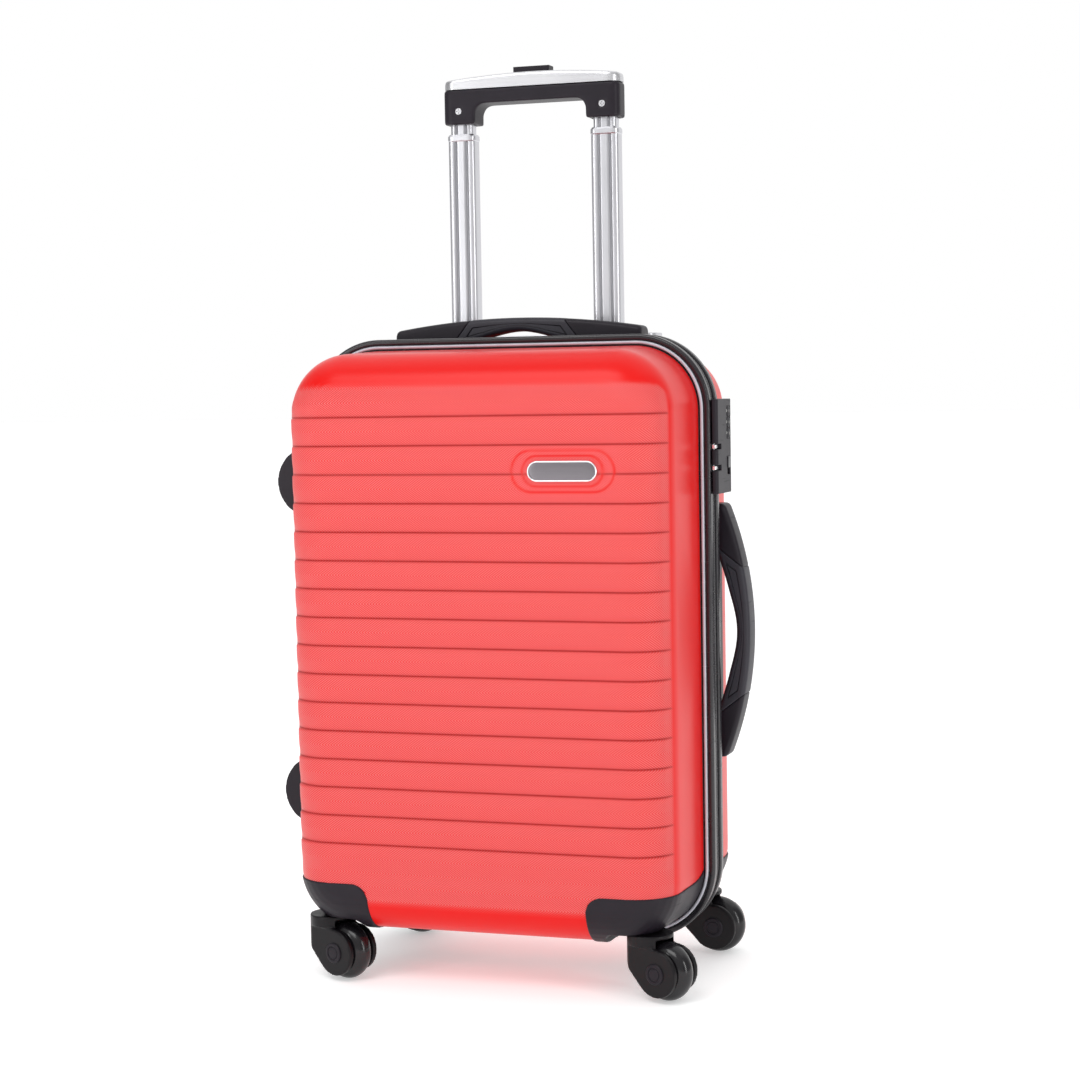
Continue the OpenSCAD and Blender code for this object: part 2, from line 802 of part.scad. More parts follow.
module housing() {
    difference() {
        intersection() {
            as_tray(true) tray_solid(house_proud);
            house_block();
        }
        // underside, open round the fork and arched up from the lobe
        mirror([0, 1, 0]) rotate([90, 0, 0]) linear_extrude(case_d) {
            translate([lobe_x, 0]) square([case_w, ring_z - arch_r]);
            translate([lobe_x + arch_r, 0]) square([case_w, ring_z]);
            translate([lobe_x + arch_r, ring_z - arch_r]) circle(r = arch_r, $fn = 48);
        }
        // hollow inside, open towards the rim
        difference() {
            intersection() {
                as_tray(true) tray_solid(-skin);
                house_block(-skin, house_y - 5);
                translate([house_x, 0, ring_z + skin + 1]) cube([case_w, case_d, 100]);
            }
            translate([caster_x, caster_y, 0]) cylinder(r = boss_r, h = ring_z + boss_h, $fn = 48);
        }
        translate([caster_x, caster_y, 0])
            cylinder(r = swivel_r + pin_gap, h = 200, $fn = 48);
        translate([caster_x, caster_y, ring_z + boss_h])
            cylinder(r = boss_r, h = 10, $fn = 48);
    }
}

module housing_back_right() { color(CHARCOAL) housing(); }

module housing_back_left() { color(CHARCOAL) mirror([1, 0, 0]) housing(); }

module housing_front_right() { color(CHARCOAL) mirror([0, 1, 0]) housing(); }

module housing_front_left() { color(CHARCOAL) mirror([1, 0, 0]) mirror([0, 1, 0]) housing(); }

// Pan-head screws on the floor of the two housings of one half
module screws(side) {
    color(SILVER) for (x = [-1, 1]) translate([x * (house_x + 7), side * 40, ring_z + skin + 1])
        cylinder(r = 3.5, h = 2, $fn = 24);
}

module back_screws() { screws(1); }

module front_screws() { screws(-1); }

/* casters: drawn with the swivel axis at the origin and the trail along +X */

// Point where the line from p touches the underside of the circle (c, r)
function touch(p, c, r) =
    let (d = norm(c - p), a = atan2((c - p)[1], (c - p)[0]), b = asin(r / d))
    p + sqrt(d * d - r * r) * [cos(a - b), sin(a - b)];

module cheek_outline() {
    hub = [trail, wheel_r];
    r = wheel_r - 4.5;
    start = [-neck_r, ring_z - 20];
    translate(hub) circle(r = r, $fn = 72);
    polygon([[-neck_r, ring_z - fork_gap], start, touch(start, hub, r), hub,
             [hub[0] + r * cos(50), hub[1] + r * sin(50)], [6.5, ring_z - 7],
             [6.5, ring_z - fork_gap]]);
}

module fork() {
    neck_h = 9;
    color(CHARCOAL) difference() {
        union() {
            intersection() {
                translate([0, tread + 1.2 + cheek_t, 0]) rotate([90, 0, 0])
                    linear_extrude(2 * (tread + 1.2 + cheek_t)) cheek_outline();
                union() {
                    cylinder(r = neck_r, h = ring_z - fork_gap, $fn = 72);
                    translate([0, -(tread + 1.2 + cheek_t), 0])
                        cube([80, 2 * (tread + 1.2 + cheek_t), ring_z - 9]);
                }
            }
            translate([0, 0, ring_z - fork_gap - neck_h]) cylinder(r = neck_r, h = neck_h, $fn = 72);
            translate([0, 0, ring_z - 2]) cylinder(r = swivel_r, h = boss_h + 3, $fn = 48);
            translate([0, 0, ring_z + boss_h + 0.4]) cylinder(r = 7, h = 2, $fn = 48);
        }
        translate([trail, tread + 1.2, wheel_r]) rotate([90, 0, 0])
            cylinder(r = wheel_r + 1.8, h = 2 * (tread + 1.2), $fn = 90);
        translate([trail, 60, wheel_r]) rotate([90, 0, 0])
            cylinder(r = axle_r + 0.01, h = 120, $fn = 36);
    }
}

module wheel() {
    steps = 10;
    color(BLACK) translate([trail, 0, wheel_r]) rotate([90, 0, 0]) rotate_extrude($fn = 96)
        polygon(concat(
            [[axle_r + pin_gap, -tread], [wheel_r - tread + 1, -tread]],
            [for (i = [0 : steps]) let (a = -75 + 150 * i / steps)
                [wheel_r - tread + tread * cos(a), tread * 0.98 * sin(a)]],
            [[wheel_r - tread + 1, tread], [axle_r + pin_gap, tread]]));
}

module axle() {
    out = tread + 1.2 + cheek_t;
    color(CHARCOAL) translate([trail, 0, wheel_r]) rotate([90, 0, 0]) {
        translate([0, 0, -out]) cylinder(r = axle_r, h = 2 * out, $fn = 36);
        for (s = [0, 1]) mirror([0, 0, s]) translate([0, 0, out]) cylinder(r = cap_r, h = 1.4, $fn = 48);
    }
}

module at_caster(x, y) {
    translate([x * caster_x, y * caster_y, 0])
        rotate([0, 0, y < 0 ? front_swivel : back_swivel]) children();
}

module fork_front_left() { at_caster(-1, -1) fork(); }

module fork_front_right() { at_caster(1, -1) fork(); }

module fork_back_left() { at_caster(-1, 1) fork(); }

module fork_back_right() { at_caster(1, 1) fork(); }

module wheel_front_left() { at_caster(-1, -1) wheel(); }

module wheel_front_right() { at_caster(1, -1) wheel(); }

module wheel_back_left() { at_caster(-1, 1) wheel(); }

module wheel_back_right() { at_caster(1, 1) wheel(); }

module axle_front_left() { at_caster(-1, -1) axle(); }

module axle_front_right() { at_caster(1, -1) axle(); }

module axle_back_left() { at_caster(-1, 1) axle(); }

module axle_back_right() { at_caster(1, 1) axle(); }

back_shell();
front_shell();
back_lining();
front_lining();
mesh_pocket();
packing_straps();
strap_buckle();
back_band();
front_band();
back_zip_tape();
front_zip_tape();
back_zip_teeth();
front_zip_teeth();
zip_sliders();
zip_pullers();
hinge_fabric();
lock_housing();
lock_shaft();
lock_dial_1();
lock_dial_2();
lock_dial_3();
lock_button();
outer_tubes();
tube_bracket();
trolley_bezel();
mid_tubes();
mid_collars();
inner_tubes();
grip_body();
grip_cap();
grip_screws();
grip_button();
release_rods();
top_handle_ends();
top_handle_grip();
side_handle_base();
side_handle_ends();
side_handle_grip();
back_feet();
front_feet();
badge_bezel();
badge_plate();
housing_front_left();
housing_front_right();
housing_back_left();
housing_back_right();
fork_front_left();
fork_front_right();
fork_back_left();
fork_back_right();
wheel_front_left();
wheel_front_right();
wheel_back_left();
wheel_back_right();
axle_front_left();
axle_front_right();
axle_back_left();
axle_back_right();
back_screws();
front_screws();
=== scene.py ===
import bpy
import bmesh
import json
import math
import numpy as np
from mathutils import Matrix, Vector


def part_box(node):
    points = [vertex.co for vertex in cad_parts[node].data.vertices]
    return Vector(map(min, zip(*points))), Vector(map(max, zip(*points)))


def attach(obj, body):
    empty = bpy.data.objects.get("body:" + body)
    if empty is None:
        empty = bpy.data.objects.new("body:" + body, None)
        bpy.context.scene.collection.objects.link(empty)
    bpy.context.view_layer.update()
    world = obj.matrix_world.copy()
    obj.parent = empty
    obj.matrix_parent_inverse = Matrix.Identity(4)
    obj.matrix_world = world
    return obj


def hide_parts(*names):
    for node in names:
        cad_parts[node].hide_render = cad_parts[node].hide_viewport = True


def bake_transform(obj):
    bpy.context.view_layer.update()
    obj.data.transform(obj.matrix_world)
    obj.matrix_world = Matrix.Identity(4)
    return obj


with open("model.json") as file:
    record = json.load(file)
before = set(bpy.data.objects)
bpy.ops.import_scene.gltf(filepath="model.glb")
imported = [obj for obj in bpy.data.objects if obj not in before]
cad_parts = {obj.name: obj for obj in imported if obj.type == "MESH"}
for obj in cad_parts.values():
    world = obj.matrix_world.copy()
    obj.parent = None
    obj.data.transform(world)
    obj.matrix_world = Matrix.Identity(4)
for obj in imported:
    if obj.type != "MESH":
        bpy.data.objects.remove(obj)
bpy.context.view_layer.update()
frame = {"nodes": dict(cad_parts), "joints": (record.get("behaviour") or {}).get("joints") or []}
cad = frame["nodes"]

# ---------------------------------------------------------------- front tray
# The lid of the case: one sheet of red polycarbonate drawn over a mould, with
# seventeen bands pressed into its face and a fine herringbone engraved in them.
# A straight drafted side rolls through an arc into the face.
shell_lo, shell_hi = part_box("front_shell")
HALF_W = shell_hi[0]
HALF_H = (shell_hi[2] - shell_lo[2]) / 2
MID_Z = (shell_hi[2] + shell_lo[2]) / 2
RIM_Y = -shell_hi[1]
RIB_H = 0.002
TUBE_OUT = 0.064
FACE_Y = -shell_lo[1] - RIB_H
CORNER_R = 0.052
EDGE_R = 0.036
DRAFT = math.radians(2.5)
WALL = 0.0024
CORE_W = HALF_W - CORNER_R
CORE_H = HALF_H - CORNER_R
FIRST_CREASE = MID_Z + HALF_H - 0.0535
BAND = 0.0229
BADGE = (0.080, 0.417)
BADGE_RIDGES = ((0.0835, 0.0324), (0.0655, 0.0240))
FIELD_W = 0.168
FIELD_H = 0.2085
FIELD_R = 0.012
mm = 0.001


def smooth_step(t):
    """Three t squared minus two t cubed, held at 0 below 0 and at 1 above 1."""
    t = np.clip(t, 0, 1)
    return t * t * (3 - 2 * t)


def grid_faces(rows, columns, close_rows=False, close_columns=False):
    """Quads of a grid of points stored row by row: each joins a point to its right, upper right and upper
    neighbours."""
    r = np.arange(rows if close_rows else rows - 1)[:, None]
    c = np.arange(columns if close_columns else columns - 1)[None, :]
    r1, c1 = (r + 1) % rows, (c + 1) % columns
    quads = np.stack([r * columns + c, r * columns + c1, r1 * columns + c1, r1 * columns + c], -1)
    return quads.reshape(-1, 4)


def make_piece(name, points, faces, finish, body, stands_for=(), sharp=35, run=None):
    """Turns points and faces into a mesh with outward normals, smooth up to the sharp angle, riding on its
    body. The map 'run' is given corner by corner."""
    mesh = bpy.data.meshes.new(name)
    mesh.from_pydata(np.asarray(points).tolist(), [], [list(map(int, f)) for f in faces])
    mesh.update()
    if run is not None:
        mesh.uv_layers.new(name="run").data.foreach_set("uv", np.asarray(run, np.float32).ravel())
    work = bmesh.new()
    work.from_mesh(mesh)
    bmesh.ops.recalc_face_normals(work, faces=work.faces)
    work.to_mesh(mesh)
    work.free()
    piece = bpy.data.objects.new(name, mesh)
    bpy.context.scene.collection.objects.link(piece)
    return finished(piece, finish, body, stands_for, sharp)


def finished(piece, finish, body, stands_for=(), sharp=35):
    """Smooths a piece up to the sharp angle, gives it its finish, and says what it rides on and stands
    for."""
    piece.data.shade_smooth()
    piece.data.set_sharp_from_angle(angle=math.radians(sharp))
    piece.data.materials.clear()
    piece.data.materials.append(finish)
    if body:
        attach(piece, body)
    if stands_for:
        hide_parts(*stands_for)
    return piece


def applied(piece):
    """Replaces the piece's mesh by its own modified mesh and clears the modifiers."""
    made = bpy.data.meshes.new_from_object(piece.evaluated_get(bpy.context.evaluated_depsgraph_get()))
    piece.modifiers.clear()
    piece.data = made
    return piece


def tray_contour(offset, side_steps, arc_steps):
    """Side of a tray from rim to face as [distance from the corner axis, depth, slope]: a straight line at
    the draft angle, then an arc of the edge radius that turns from the draft angle to a quarter turn, moved
    out by offset."""
    axis = CORNER_R - math.tan(DRAFT) * (FACE_Y - EDGE_R - RIM_Y) - EDGE_R / math.cos(DRAFT)
    slope = np.linspace(DRAFT, math.pi / 2, arc_steps)
    arc = np.stack([axis + (EDGE_R + offset) * np.cos(slope),
                    FACE_Y - EDGE_R + (EDGE_R + offset) * np.sin(slope), slope], 1)
    rim = np.array([CORNER_R + offset / math.cos(DRAFT), RIM_Y, DRAFT])
    t = np.linspace(0, 1, side_steps, endpoint=False)[:, None]
    return np.concatenate([rim + (arc[0] - rim) * t, arc])


def outline_side(stations, run, back, arc_steps):
    """One side of the rounded outline between the middles of two corners: an eighth of a turn, the straight
    stations, and another eighth, as [along, across, normal along, normal across] of the core line."""
    a = np.radians(np.linspace(225, 270, arc_steps, endpoint=False))
    b = np.radians(np.linspace(270, 315, arc_steps + 1)[1:])
    along = np.concatenate([np.full(arc_steps, -run), stations, np.full(arc_steps, run)])
    flat = np.zeros_like(stations)
    return np.stack([along, np.full_like(along, -back), np.concatenate([np.cos(a), flat, np.cos(b)]),
                     np.concatenate([np.sin(a), flat - 1, np.sin(b)])], 1)


def outline_loop(columns, rows, arc_steps):
    """The closed outline, bottom, right, top, left, as [x, z, normal x, normal z] of the core line."""
    bottom = outline_side(columns, CORE_W, CORE_H, arc_steps)
    left = outline_side(rows, CORE_H, CORE_W, arc_steps)[:, [1, 0, 3, 2]]
    top = bottom * [1, -1, 1, -1]
    right = left * [-1, 1, -1, 1]
    return np.concatenate([bottom, right[1:], top[::-1][1:], left[::-1][1:-1]]), bottom, left


def band_height(z):
    """Share of the rib height at height z: from each crease a steep parabola up over a tenth of the band,
    then a slow parabola down over its lower seven tenths. The two end bands fade out into the plain
    face."""
    s = (FIRST_CREASE - z) / BAND
    f = s - np.floor(s)
    rise = 1 - (1 - np.clip(f / 0.10, 0, 1)) ** 2
    fall = 1 - np.clip((f - 0.3) / 0.7, 0, 1) ** 2
    h = rise * fall
    h = np.where(s < 0, fall * smooth_step((0.486 - z) / 0.020), h)
    return np.where(s > 15, rise * smooth_step((z - 0.092) / 0.020), h)


def oval(x, z, length, height):
    """Distance outside a level oval with round ends about the badge's middle, negative inside."""
    across = np.maximum(np.abs(x - BADGE[0]) - (length - height) / 2, 0)
    return np.hypot(across, z - BADGE[1]) - height / 2


def tray_mesh(back):
    """Points and faces of a tray with its wall: ribbed outside, lip at the rim, plain inside. The outside
    is a ring of profile lines round the outline, joined to a grid over the face whose rows lie level, so
    that no crease steps."""
    inner_cols = np.arange(BADGE[0] - 0.045, BADGE[0] + 0.0451, 0.0015)
    columns = np.concatenate([[-CORE_W], np.linspace(-CORE_W, inner_cols[0], 24)[1:-1], inner_cols,
                              [inner_cols[-1] / 2 + CORE_W / 2] if inner_cols[-1] < CORE_W - 0.002 else [],
                              [CORE_W]])
    columns = columns[(columns >= -CORE_W) & (columns <= CORE_W)]
    columns = np.unique(np.round(columns, 6))
    shares = np.array([0, .02, .045, .07, .10, .15, .22, .3, .4, .5, .6, .7, .78, .85, .91, .955, .985])
    bands = FIRST_CREASE - MID_Z - BAND * (np.arange(16)[:, None] + shares[None, :]).ravel()
    rows = np.concatenate([bands, [-CORE_H, CORE_H], np.linspace(-CORE_H, bands.min(), 8)[1:-1]])
    if not back:
        rows = np.concatenate([rows, np.arange(BADGE[1] - 0.018, BADGE[1] + 0.018, 0.0013) - MID_Z])
    rows = rows[(rows >= -CORE_H) & (rows <= CORE_H)]
    rows = np.unique(np.round(rows, 5))
    rows = rows[np.concatenate([[True], np.diff(rows) > 0.00025])]
    rows[-1] = CORE_H
    loop, bottom, left = outline_loop(columns, rows, 9)
    line = tray_contour(0, 7, 17)
    flat = np.concatenate([np.cumsum(np.hypot(*np.diff(line[:, :2], axis=0).T)[::-1])[::-1], [0]])
    rho, depth, slope = line.T
    x = loop[None, :, 0] + rho[:, None] * loop[None, :, 2]
    z = loop[None, :, 1] + rho[:, None] * loop[None, :, 3]
    sides = smooth_step((np.degrees(slope) - 28) / 12)[:, None]
    rise = RIB_H * band_height(z + MID_Z) * sides
    ring = np.stack([x + rise * np.cos(slope)[:, None] * loop[None, :, 2],
                     -(depth[:, None] + rise * np.sin(slope)[:, None]),
                     z + rise * np.cos(slope)[:, None] * loop[None, :, 3]], -1)
    ring_uv = np.stack([loop[None, :, 0] + (rho[-1] + flat[:, None]) * loop[None, :, 2],
                        loop[None, :, 1] + (rho[-1] + flat[:, None]) * loop[None, :, 3]], -1)
    # the face: rows between the two sides, bent towards the top and bottom edges only near them
    bx, bz = bottom[:, 0] + rho[-1] * bottom[:, 2], bottom[:, 1] + rho[-1] * bottom[:, 3]
    lx, lz = left[:, 0] + rho[-1] * left[:, 2], left[:, 1] + rho[-1] * left[:, 3]
    s = (bx - bx[0]) / (bx[-1] - bx[0])
    fx = lx[:, None] * (1 - 2 * s[None, :])
    near = np.clip(1 - (lz - lz[0]) / 0.009, 0, 1) ** 2
    fz = lz[:, None] + (near - near[::-1])[:, None] * (bz - bz[0])[None, :]
    fh = band_height(fz + MID_Z)
    if not back:
        outer = smooth_step(0.5 - oval(fx, fz + MID_Z, *BADGE_RIDGES[0]) / 0.0016)
        inner = smooth_step(0.5 - oval(fx, fz + MID_Z, *BADGE_RIDGES[1]) / 0.0012)
        fh = fh * (1 - outer) + outer * (0.78 + 0.18 * inner)
    face = np.stack([fx, -(FACE_Y + RIB_H * fh), fz], -1)
    nr, nc = fx.shape
    index = np.full((nr, nc), -1)
    count = ring.shape[1]
    last = (len(line) - 1) * count
    edge = last + np.arange(count)
    index[0, :] = edge[:nc]
    index[1:, -1] = edge[nc:nc + nr - 1]
    index[-1, :-1] = edge[nc + nr - 1:2 * nc + nr - 2][::-1]
    index[1:-1, 0] = edge[2 * nc + nr - 2:][::-1]
    index[1:-1, 1:-1] = len(line) * count + np.arange((nr - 2) * (nc - 2)).reshape(nr - 2, nc - 2)
    inner_line = tray_contour(-WALL, 3, 8)
    ix = loop[None, :, 0] + inner_line[:, :1] * loop[None, :, 2]
    iz = loop[None, :, 1] + inner_line[:, :1] * loop[None, :, 3]
    inside = np.stack([ix, -np.repeat(inner_line[:, 1:2], count, 1), iz], -1)
    points = np.concatenate([ring.reshape(-1, 3), face[1:-1, 1:-1].reshape(-1, 3), inside.reshape(-1, 3)])
    a = np.stack([index[:-1, :-1], index[:-1, 1:], index[1:, 1:], index[1:, :-1]], -1).reshape(-1, 4)
    start = len(points) - inside.shape[0] * count
    lip = np.stack([np.arange(count), np.roll(np.arange(count), -1), start + np.roll(np.arange(count), -1),
                    start + np.arange(count)], -1)
    faces = [grid_faces(len(line), count, close_columns=True), a,
             grid_faces(len(inner_line), count, close_columns=True) + start, lip]
    faces = np.concatenate(faces).tolist() + [list(range(len(points) - count, len(points)))]
    points[:, 2] += MID_Z
    if back:
        points[:, 1] *= -1
    uv = np.concatenate([ring_uv.reshape(-1, 2), np.stack([fx, fz], -1)[1:-1, 1:-1].reshape(-1, 2),
                         np.repeat([[0.0, 9.0]], inside.shape[0] * count, 0)])
    # herringbone: everywhere inside a rounded field on the unrolled skin, but for two plain ridges round
    # the badge
    qx = np.maximum(np.abs(uv[:, 0]) - FIELD_W + FIELD_R, 0)
    qz = np.maximum(np.abs(uv[:, 1]) - FIELD_H + FIELD_R, 0)
    hatch = smooth_step((FIELD_R + 0.0015 - np.hypot(qx, qz)) / 0.004)
    if not back:
        for length, height in BADGE_RIDGES:
            hatch = hatch * (1 - np.exp(-(oval(uv[:, 0], uv[:, 1] + MID_Z, length, height) / 0.0009) ** 2))
    # painted shade: a dark line along each crease, where shade falls in it
    nth = np.clip(np.round((FIRST_CREASE - MID_Z - uv[:, 1]) / BAND), 0, 15)
    off = uv[:, 1] - (FIRST_CREASE - MID_Z - nth * BAND)
    crease = np.exp(-(off / 0.0007) ** 2) * hatch
    return points, faces, uv, hatch, crease


def new_finish(name, colour, rough, **sockets):
    """A material with its Principled shader set up: returns the material, its node tree and the shader."""
    finish = bpy.data.materials.new(name)
    finish.use_nodes = True
    tree = finish.node_tree
    shader = tree.nodes["Principled BSDF"]
    shader.inputs["Base Color"].default_value = (*colour, 1)
    shader.inputs["Roughness"].default_value = rough
    for socket, value in sockets.items():
        shader.inputs[socket.replace("_", " ")].default_value = value
    return finish, tree, shader


def add(tree, kind, values=None, **settings):
    """A node of a kind, with its properties set by name and its inputs by index or by name in a
    dictionary."""
    node = tree.nodes.new(kind)
    for key, value in settings.items():
        setattr(node, key, value)
    for key, value in (values or {}).items():
        node.inputs[key].default_value = value
    return node


def maths(tree, operation, a, b=None, c=None, clamp=False):
    """A Math node on up to three inputs, each a socket or a number; returns its output."""
    node = add(tree, "ShaderNodeMath", operation=operation, use_clamp=clamp)
    for i, value in enumerate((a, b, c)):
        if isinstance(value, bpy.types.NodeSocket):
            tree.links.new(value, node.inputs[i])
        elif value is not None:
            node.inputs[i].default_value = value
    return node.outputs[0]


def new_group(name, inputs, outputs):
    """A shader node group with inputs and outputs given as {name: (type, default)}."""
    group = bpy.data.node_groups.new(name, "ShaderNodeTree")
    for side, sockets in (("INPUT", inputs), ("OUTPUT", outputs)):
        for label, (kind, value) in sockets.items():
            made = group.interface.new_socket(name=label, in_out=side, socket_type="NodeSocket" + kind)
            if value is not None:
                made.default_value = value
    return group, group.nodes.new("NodeGroupInput"), group.nodes.new("NodeGroupOutput")


def place(tree, group, **values):
    """Puts a group into a material with its own values, each a number or a socket."""
    node = add(tree, "ShaderNodeGroup", node_tree=group)
    for key, value in values.items():
        if isinstance(value, bpy.types.NodeSocket):
            tree.links.new(value, node.inputs[key])
        else:
            node.inputs[key].default_value = value
    return node


def tinted(tree, share, low, high):
    """A colour that goes from low to high with the share."""
    mix = add(tree, "ShaderNodeMix", data_type="RGBA", values={6: (*low, 1), 7: (*high, 1)})
    tree.links.new(share, mix.inputs[0])
    return mix.outputs[2]


def raised(tree, shader, height, distance, strength=1.0):
    """Bump on the shader from a height of 0 to 1, distance deep in metres."""
    bump = add(tree, "ShaderNodeBump", values={"Strength": strength, "Distance": distance})
    tree.links.new(height, bump.inputs["Height"])
    tree.links.new(bump.outputs[0], shader.inputs["Normal"])
    return bump


# herringbone: a wave across lines that lean one way below each crease and the other way above the middle of
# each band
herringbone, gi, go = new_group("herringbone", {"Skin": ("Vector", None), "Pitch": ("Float", 1.45),
                                                "Crease": ("Float", 183.5), "Band": ("Float", 22.9)},
                                {"Line": ("Float", None)})
split = add(herringbone, "ShaderNodeSeparateXYZ")
herringbone.links.new(gi.outputs["Skin"], split.inputs[0])
below = maths(herringbone, "SUBTRACT", gi.outputs["Crease"], maths(herringbone, "MULTIPLY",
                                                                   split.outputs["Y"], 1000.0))
fold = maths(herringbone, "PINGPONG", below, maths(herringbone, "MULTIPLY", gi.outputs["Band"], 0.5))
across = maths(herringbone, "MULTIPLY_ADD", split.outputs["X"], 588.0, maths(herringbone, "MULTIPLY", fold,
                                                                             0.809))
turns = maths(herringbone, "MULTIPLY", maths(herringbone, "DIVIDE", across, gi.outputs["Pitch"]), 2 * math.pi)
herringbone.links.new(maths(herringbone, "MULTIPLY_ADD", maths(herringbone, "SINE", turns), 0.5, 0.5),
                      go.inputs["Line"])

# handling marks: faint cloudy change and a few long hair scratches, for anything that is carried about
marks, gi, go = new_group("handling_marks", {"Place": ("Vector", None), "Size": ("Float", 9.0)},
                          {"Cloud": ("Float", None), "Hair": ("Float", None)})
cloud = add(marks, "ShaderNodeTexNoise", {"Detail": 3.0, "Roughness": 0.55})
marks.links.new(gi.outputs["Place"], cloud.inputs["Vector"])
marks.links.new(gi.outputs["Size"], cloud.inputs["Scale"])
marks.links.new(cloud.outputs["Fac"], go.inputs["Cloud"])
stretch = add(marks, "ShaderNodeMapping", {"Rotation": (0.2, 0.5, 0.3), "Scale": (14, 30, 420)})
marks.links.new(gi.outputs["Place"], stretch.inputs["Vector"])
hair = add(marks, "ShaderNodeTexNoise", {"Scale": 1.0, "Detail": 1.0})
marks.links.new(stretch.outputs[0], hair.inputs["Vector"])
marks.links.new(maths(marks, "MULTIPLY", maths(marks, "SUBTRACT", hair.outputs["Fac"], 0.66), 9.0,
                      clamp=True),
                go.inputs["Hair"])

RED = (0.71, 0.0045, 0.0030)
red_shell, tree, shader = new_finish("red_polycarbonate", RED, 0.3, Specular_IOR_Level=0.24)
skin = add(tree, "ShaderNodeUVMap", uv_map="skin")
lines = place(tree, herringbone, Skin=skin.outputs[0])
where = add(tree, "ShaderNodeAttribute", attribute_name="hatch")
crease = add(tree, "ShaderNodeAttribute", attribute_name="crease")
spot = add(tree, "ShaderNodeTexCoord")
wear = place(tree, marks, Place=spot.outputs["Object"])
line = maths(tree, "MULTIPLY", lines.outputs["Line"], where.outputs["Fac"])
# painted sheen: the herringbone lines lighten the red towards pink, standing in for the gloss reflection off
# the engraved ridges
pale = tinted(tree, maths(tree, "MULTIPLY", line, 0.80), RED, (0.71, 0.20, 0.20))
# painted shade: the red is mixed towards a dark red along each crease
crease_shade_mix = add(tree, "ShaderNodeMix", data_type="RGBA", values={7: (0.33, 0.002, 0.002, 1)})
tree.links.new(maths(tree, "MULTIPLY", crease.outputs["Fac"], 0.8), crease_shade_mix.inputs[0])
tree.links.new(pale, crease_shade_mix.inputs[6])
tree.links.new(crease_shade_mix.outputs[2], shader.inputs["Base Color"])
rough = maths(tree, "MULTIPLY_ADD", wear.outputs["Cloud"], 0.08, 0.25)
tree.links.new(maths(tree, "MULTIPLY_ADD", where.outputs["Fac"], 0.05, rough), shader.inputs["Roughness"])
raised(tree, shader, line, 0.00022, 0.7)

# where the wheel housings, the trolley and the lock are let in, the wall is cut away
HOUSE_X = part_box("housing_front_right")[0][0]
HOUSE_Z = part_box("housing_front_right")[1][2]


def box_mesh(lows, highs):
    """Closed boxes between lists of lowest and highest corners."""
    unit = np.array([[x, y, z] for x in (0, 1) for y in (0, 1) for z in (0, 1)], float)
    quads = np.array([[0, 1, 3, 2], [4, 6, 7, 5], [0, 4, 5, 1], [2, 3, 7, 6], [0, 2, 6, 4], [1, 5, 7, 3]])
    lows, highs = np.array(lows, float), np.array(highs, float)
    points = (lows[:, None] + unit[None] * (highs - lows)[:, None]).reshape(-1, 3)
    return points, (quads[None] + 8 * np.arange(len(lows))[:, None, None]).reshape(-1, 4)


def cut_away(piece, lows, highs):
    """Takes boxes out of a closed piece for good."""
    points, quads = box_mesh(lows, highs)
    mesh = bpy.data.meshes.new("cut")
    mesh.from_pydata(points.tolist(), [], quads.tolist())
    work = bmesh.new()
    work.from_mesh(mesh)
    bmesh.ops.recalc_face_normals(work, faces=work.faces)
    work.to_mesh(mesh)
    work.free()
    tool = bpy.data.objects.new("cut", mesh)
    bpy.context.scene.collection.objects.link(tool)
    cut = piece.modifiers.new("cut", "BOOLEAN")
    cut.operation, cut.object, cut.solver = "DIFFERENCE", tool, "MANIFOLD"
    applied(piece)
    bpy.data.objects.remove(tool)
    bpy.data.meshes.remove(mesh)
    piece.data.shade_smooth()
    piece.data.set_sharp_from_angle(angle=math.radians(50))
    return piece


def make_tray(name, back):
    """A tray with its skin map and its herringbone field, cut for what is let into it."""
    points, faces, uv, hatch, crease = tray_mesh(back)
    body = "back_half" if back else "front_half"
    piece = make_piece(name, points, faces, red_shell, body, ["back_shell" if back else "front_shell"],
                       sharp=50)
    mesh = piece.data
    layer = mesh.uv_layers.new(name="skin")
    corner = np.zeros(len(mesh.loops), np.int32)
    mesh.loops.foreach_get("vertex_index", corner)
    layer.data.foreach_set("uv", uv[corner].astype(np.float32).ravel())
    for label, values in (("hatch", hatch), ("crease", crease)):
        mesh.attributes.new(label, "FLOAT", "POINT").data.foreach_set("value", values.astype(np.float32))
    s = 1 if back else -1
    inset = 0.002
    ys = sorted([s * (RIM_Y - 0.004), s * 0.14])
    lows = [[HOUSE_X + inset, ys[0], 0], [-0.3, ys[0], 0]]
    highs = [[0.3, ys[1], HOUSE_Z - 0.012], [-HOUSE_X - inset, ys[1], HOUSE_Z - 0.012]]
    if back:
        for t in (-1, 1):
            lows.append([t * TUBE_OUT - 0.0145, 0.063, 0.48])
            highs.append([t * TUBE_OUT + 0.0145, 0.085, 0.56])
        lo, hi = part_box("lock_housing")
        lows.append([HALF_W - 0.012, 0.0155, lo[2] + 0.004])
        highs.append([0.2, hi[1] - 0.0015, hi[2] - 0.004])
    return cut_away(piece, lows, highs)


make_tray("front_tray", False)

# ---------------------------------------------------------------- back tray
# The base of the case, pressed in the same mould without the badge: it carries
# the trolley, both handles and the lock, and its wall is cut for the trolley and the lock.
make_tray("back_tray", True)

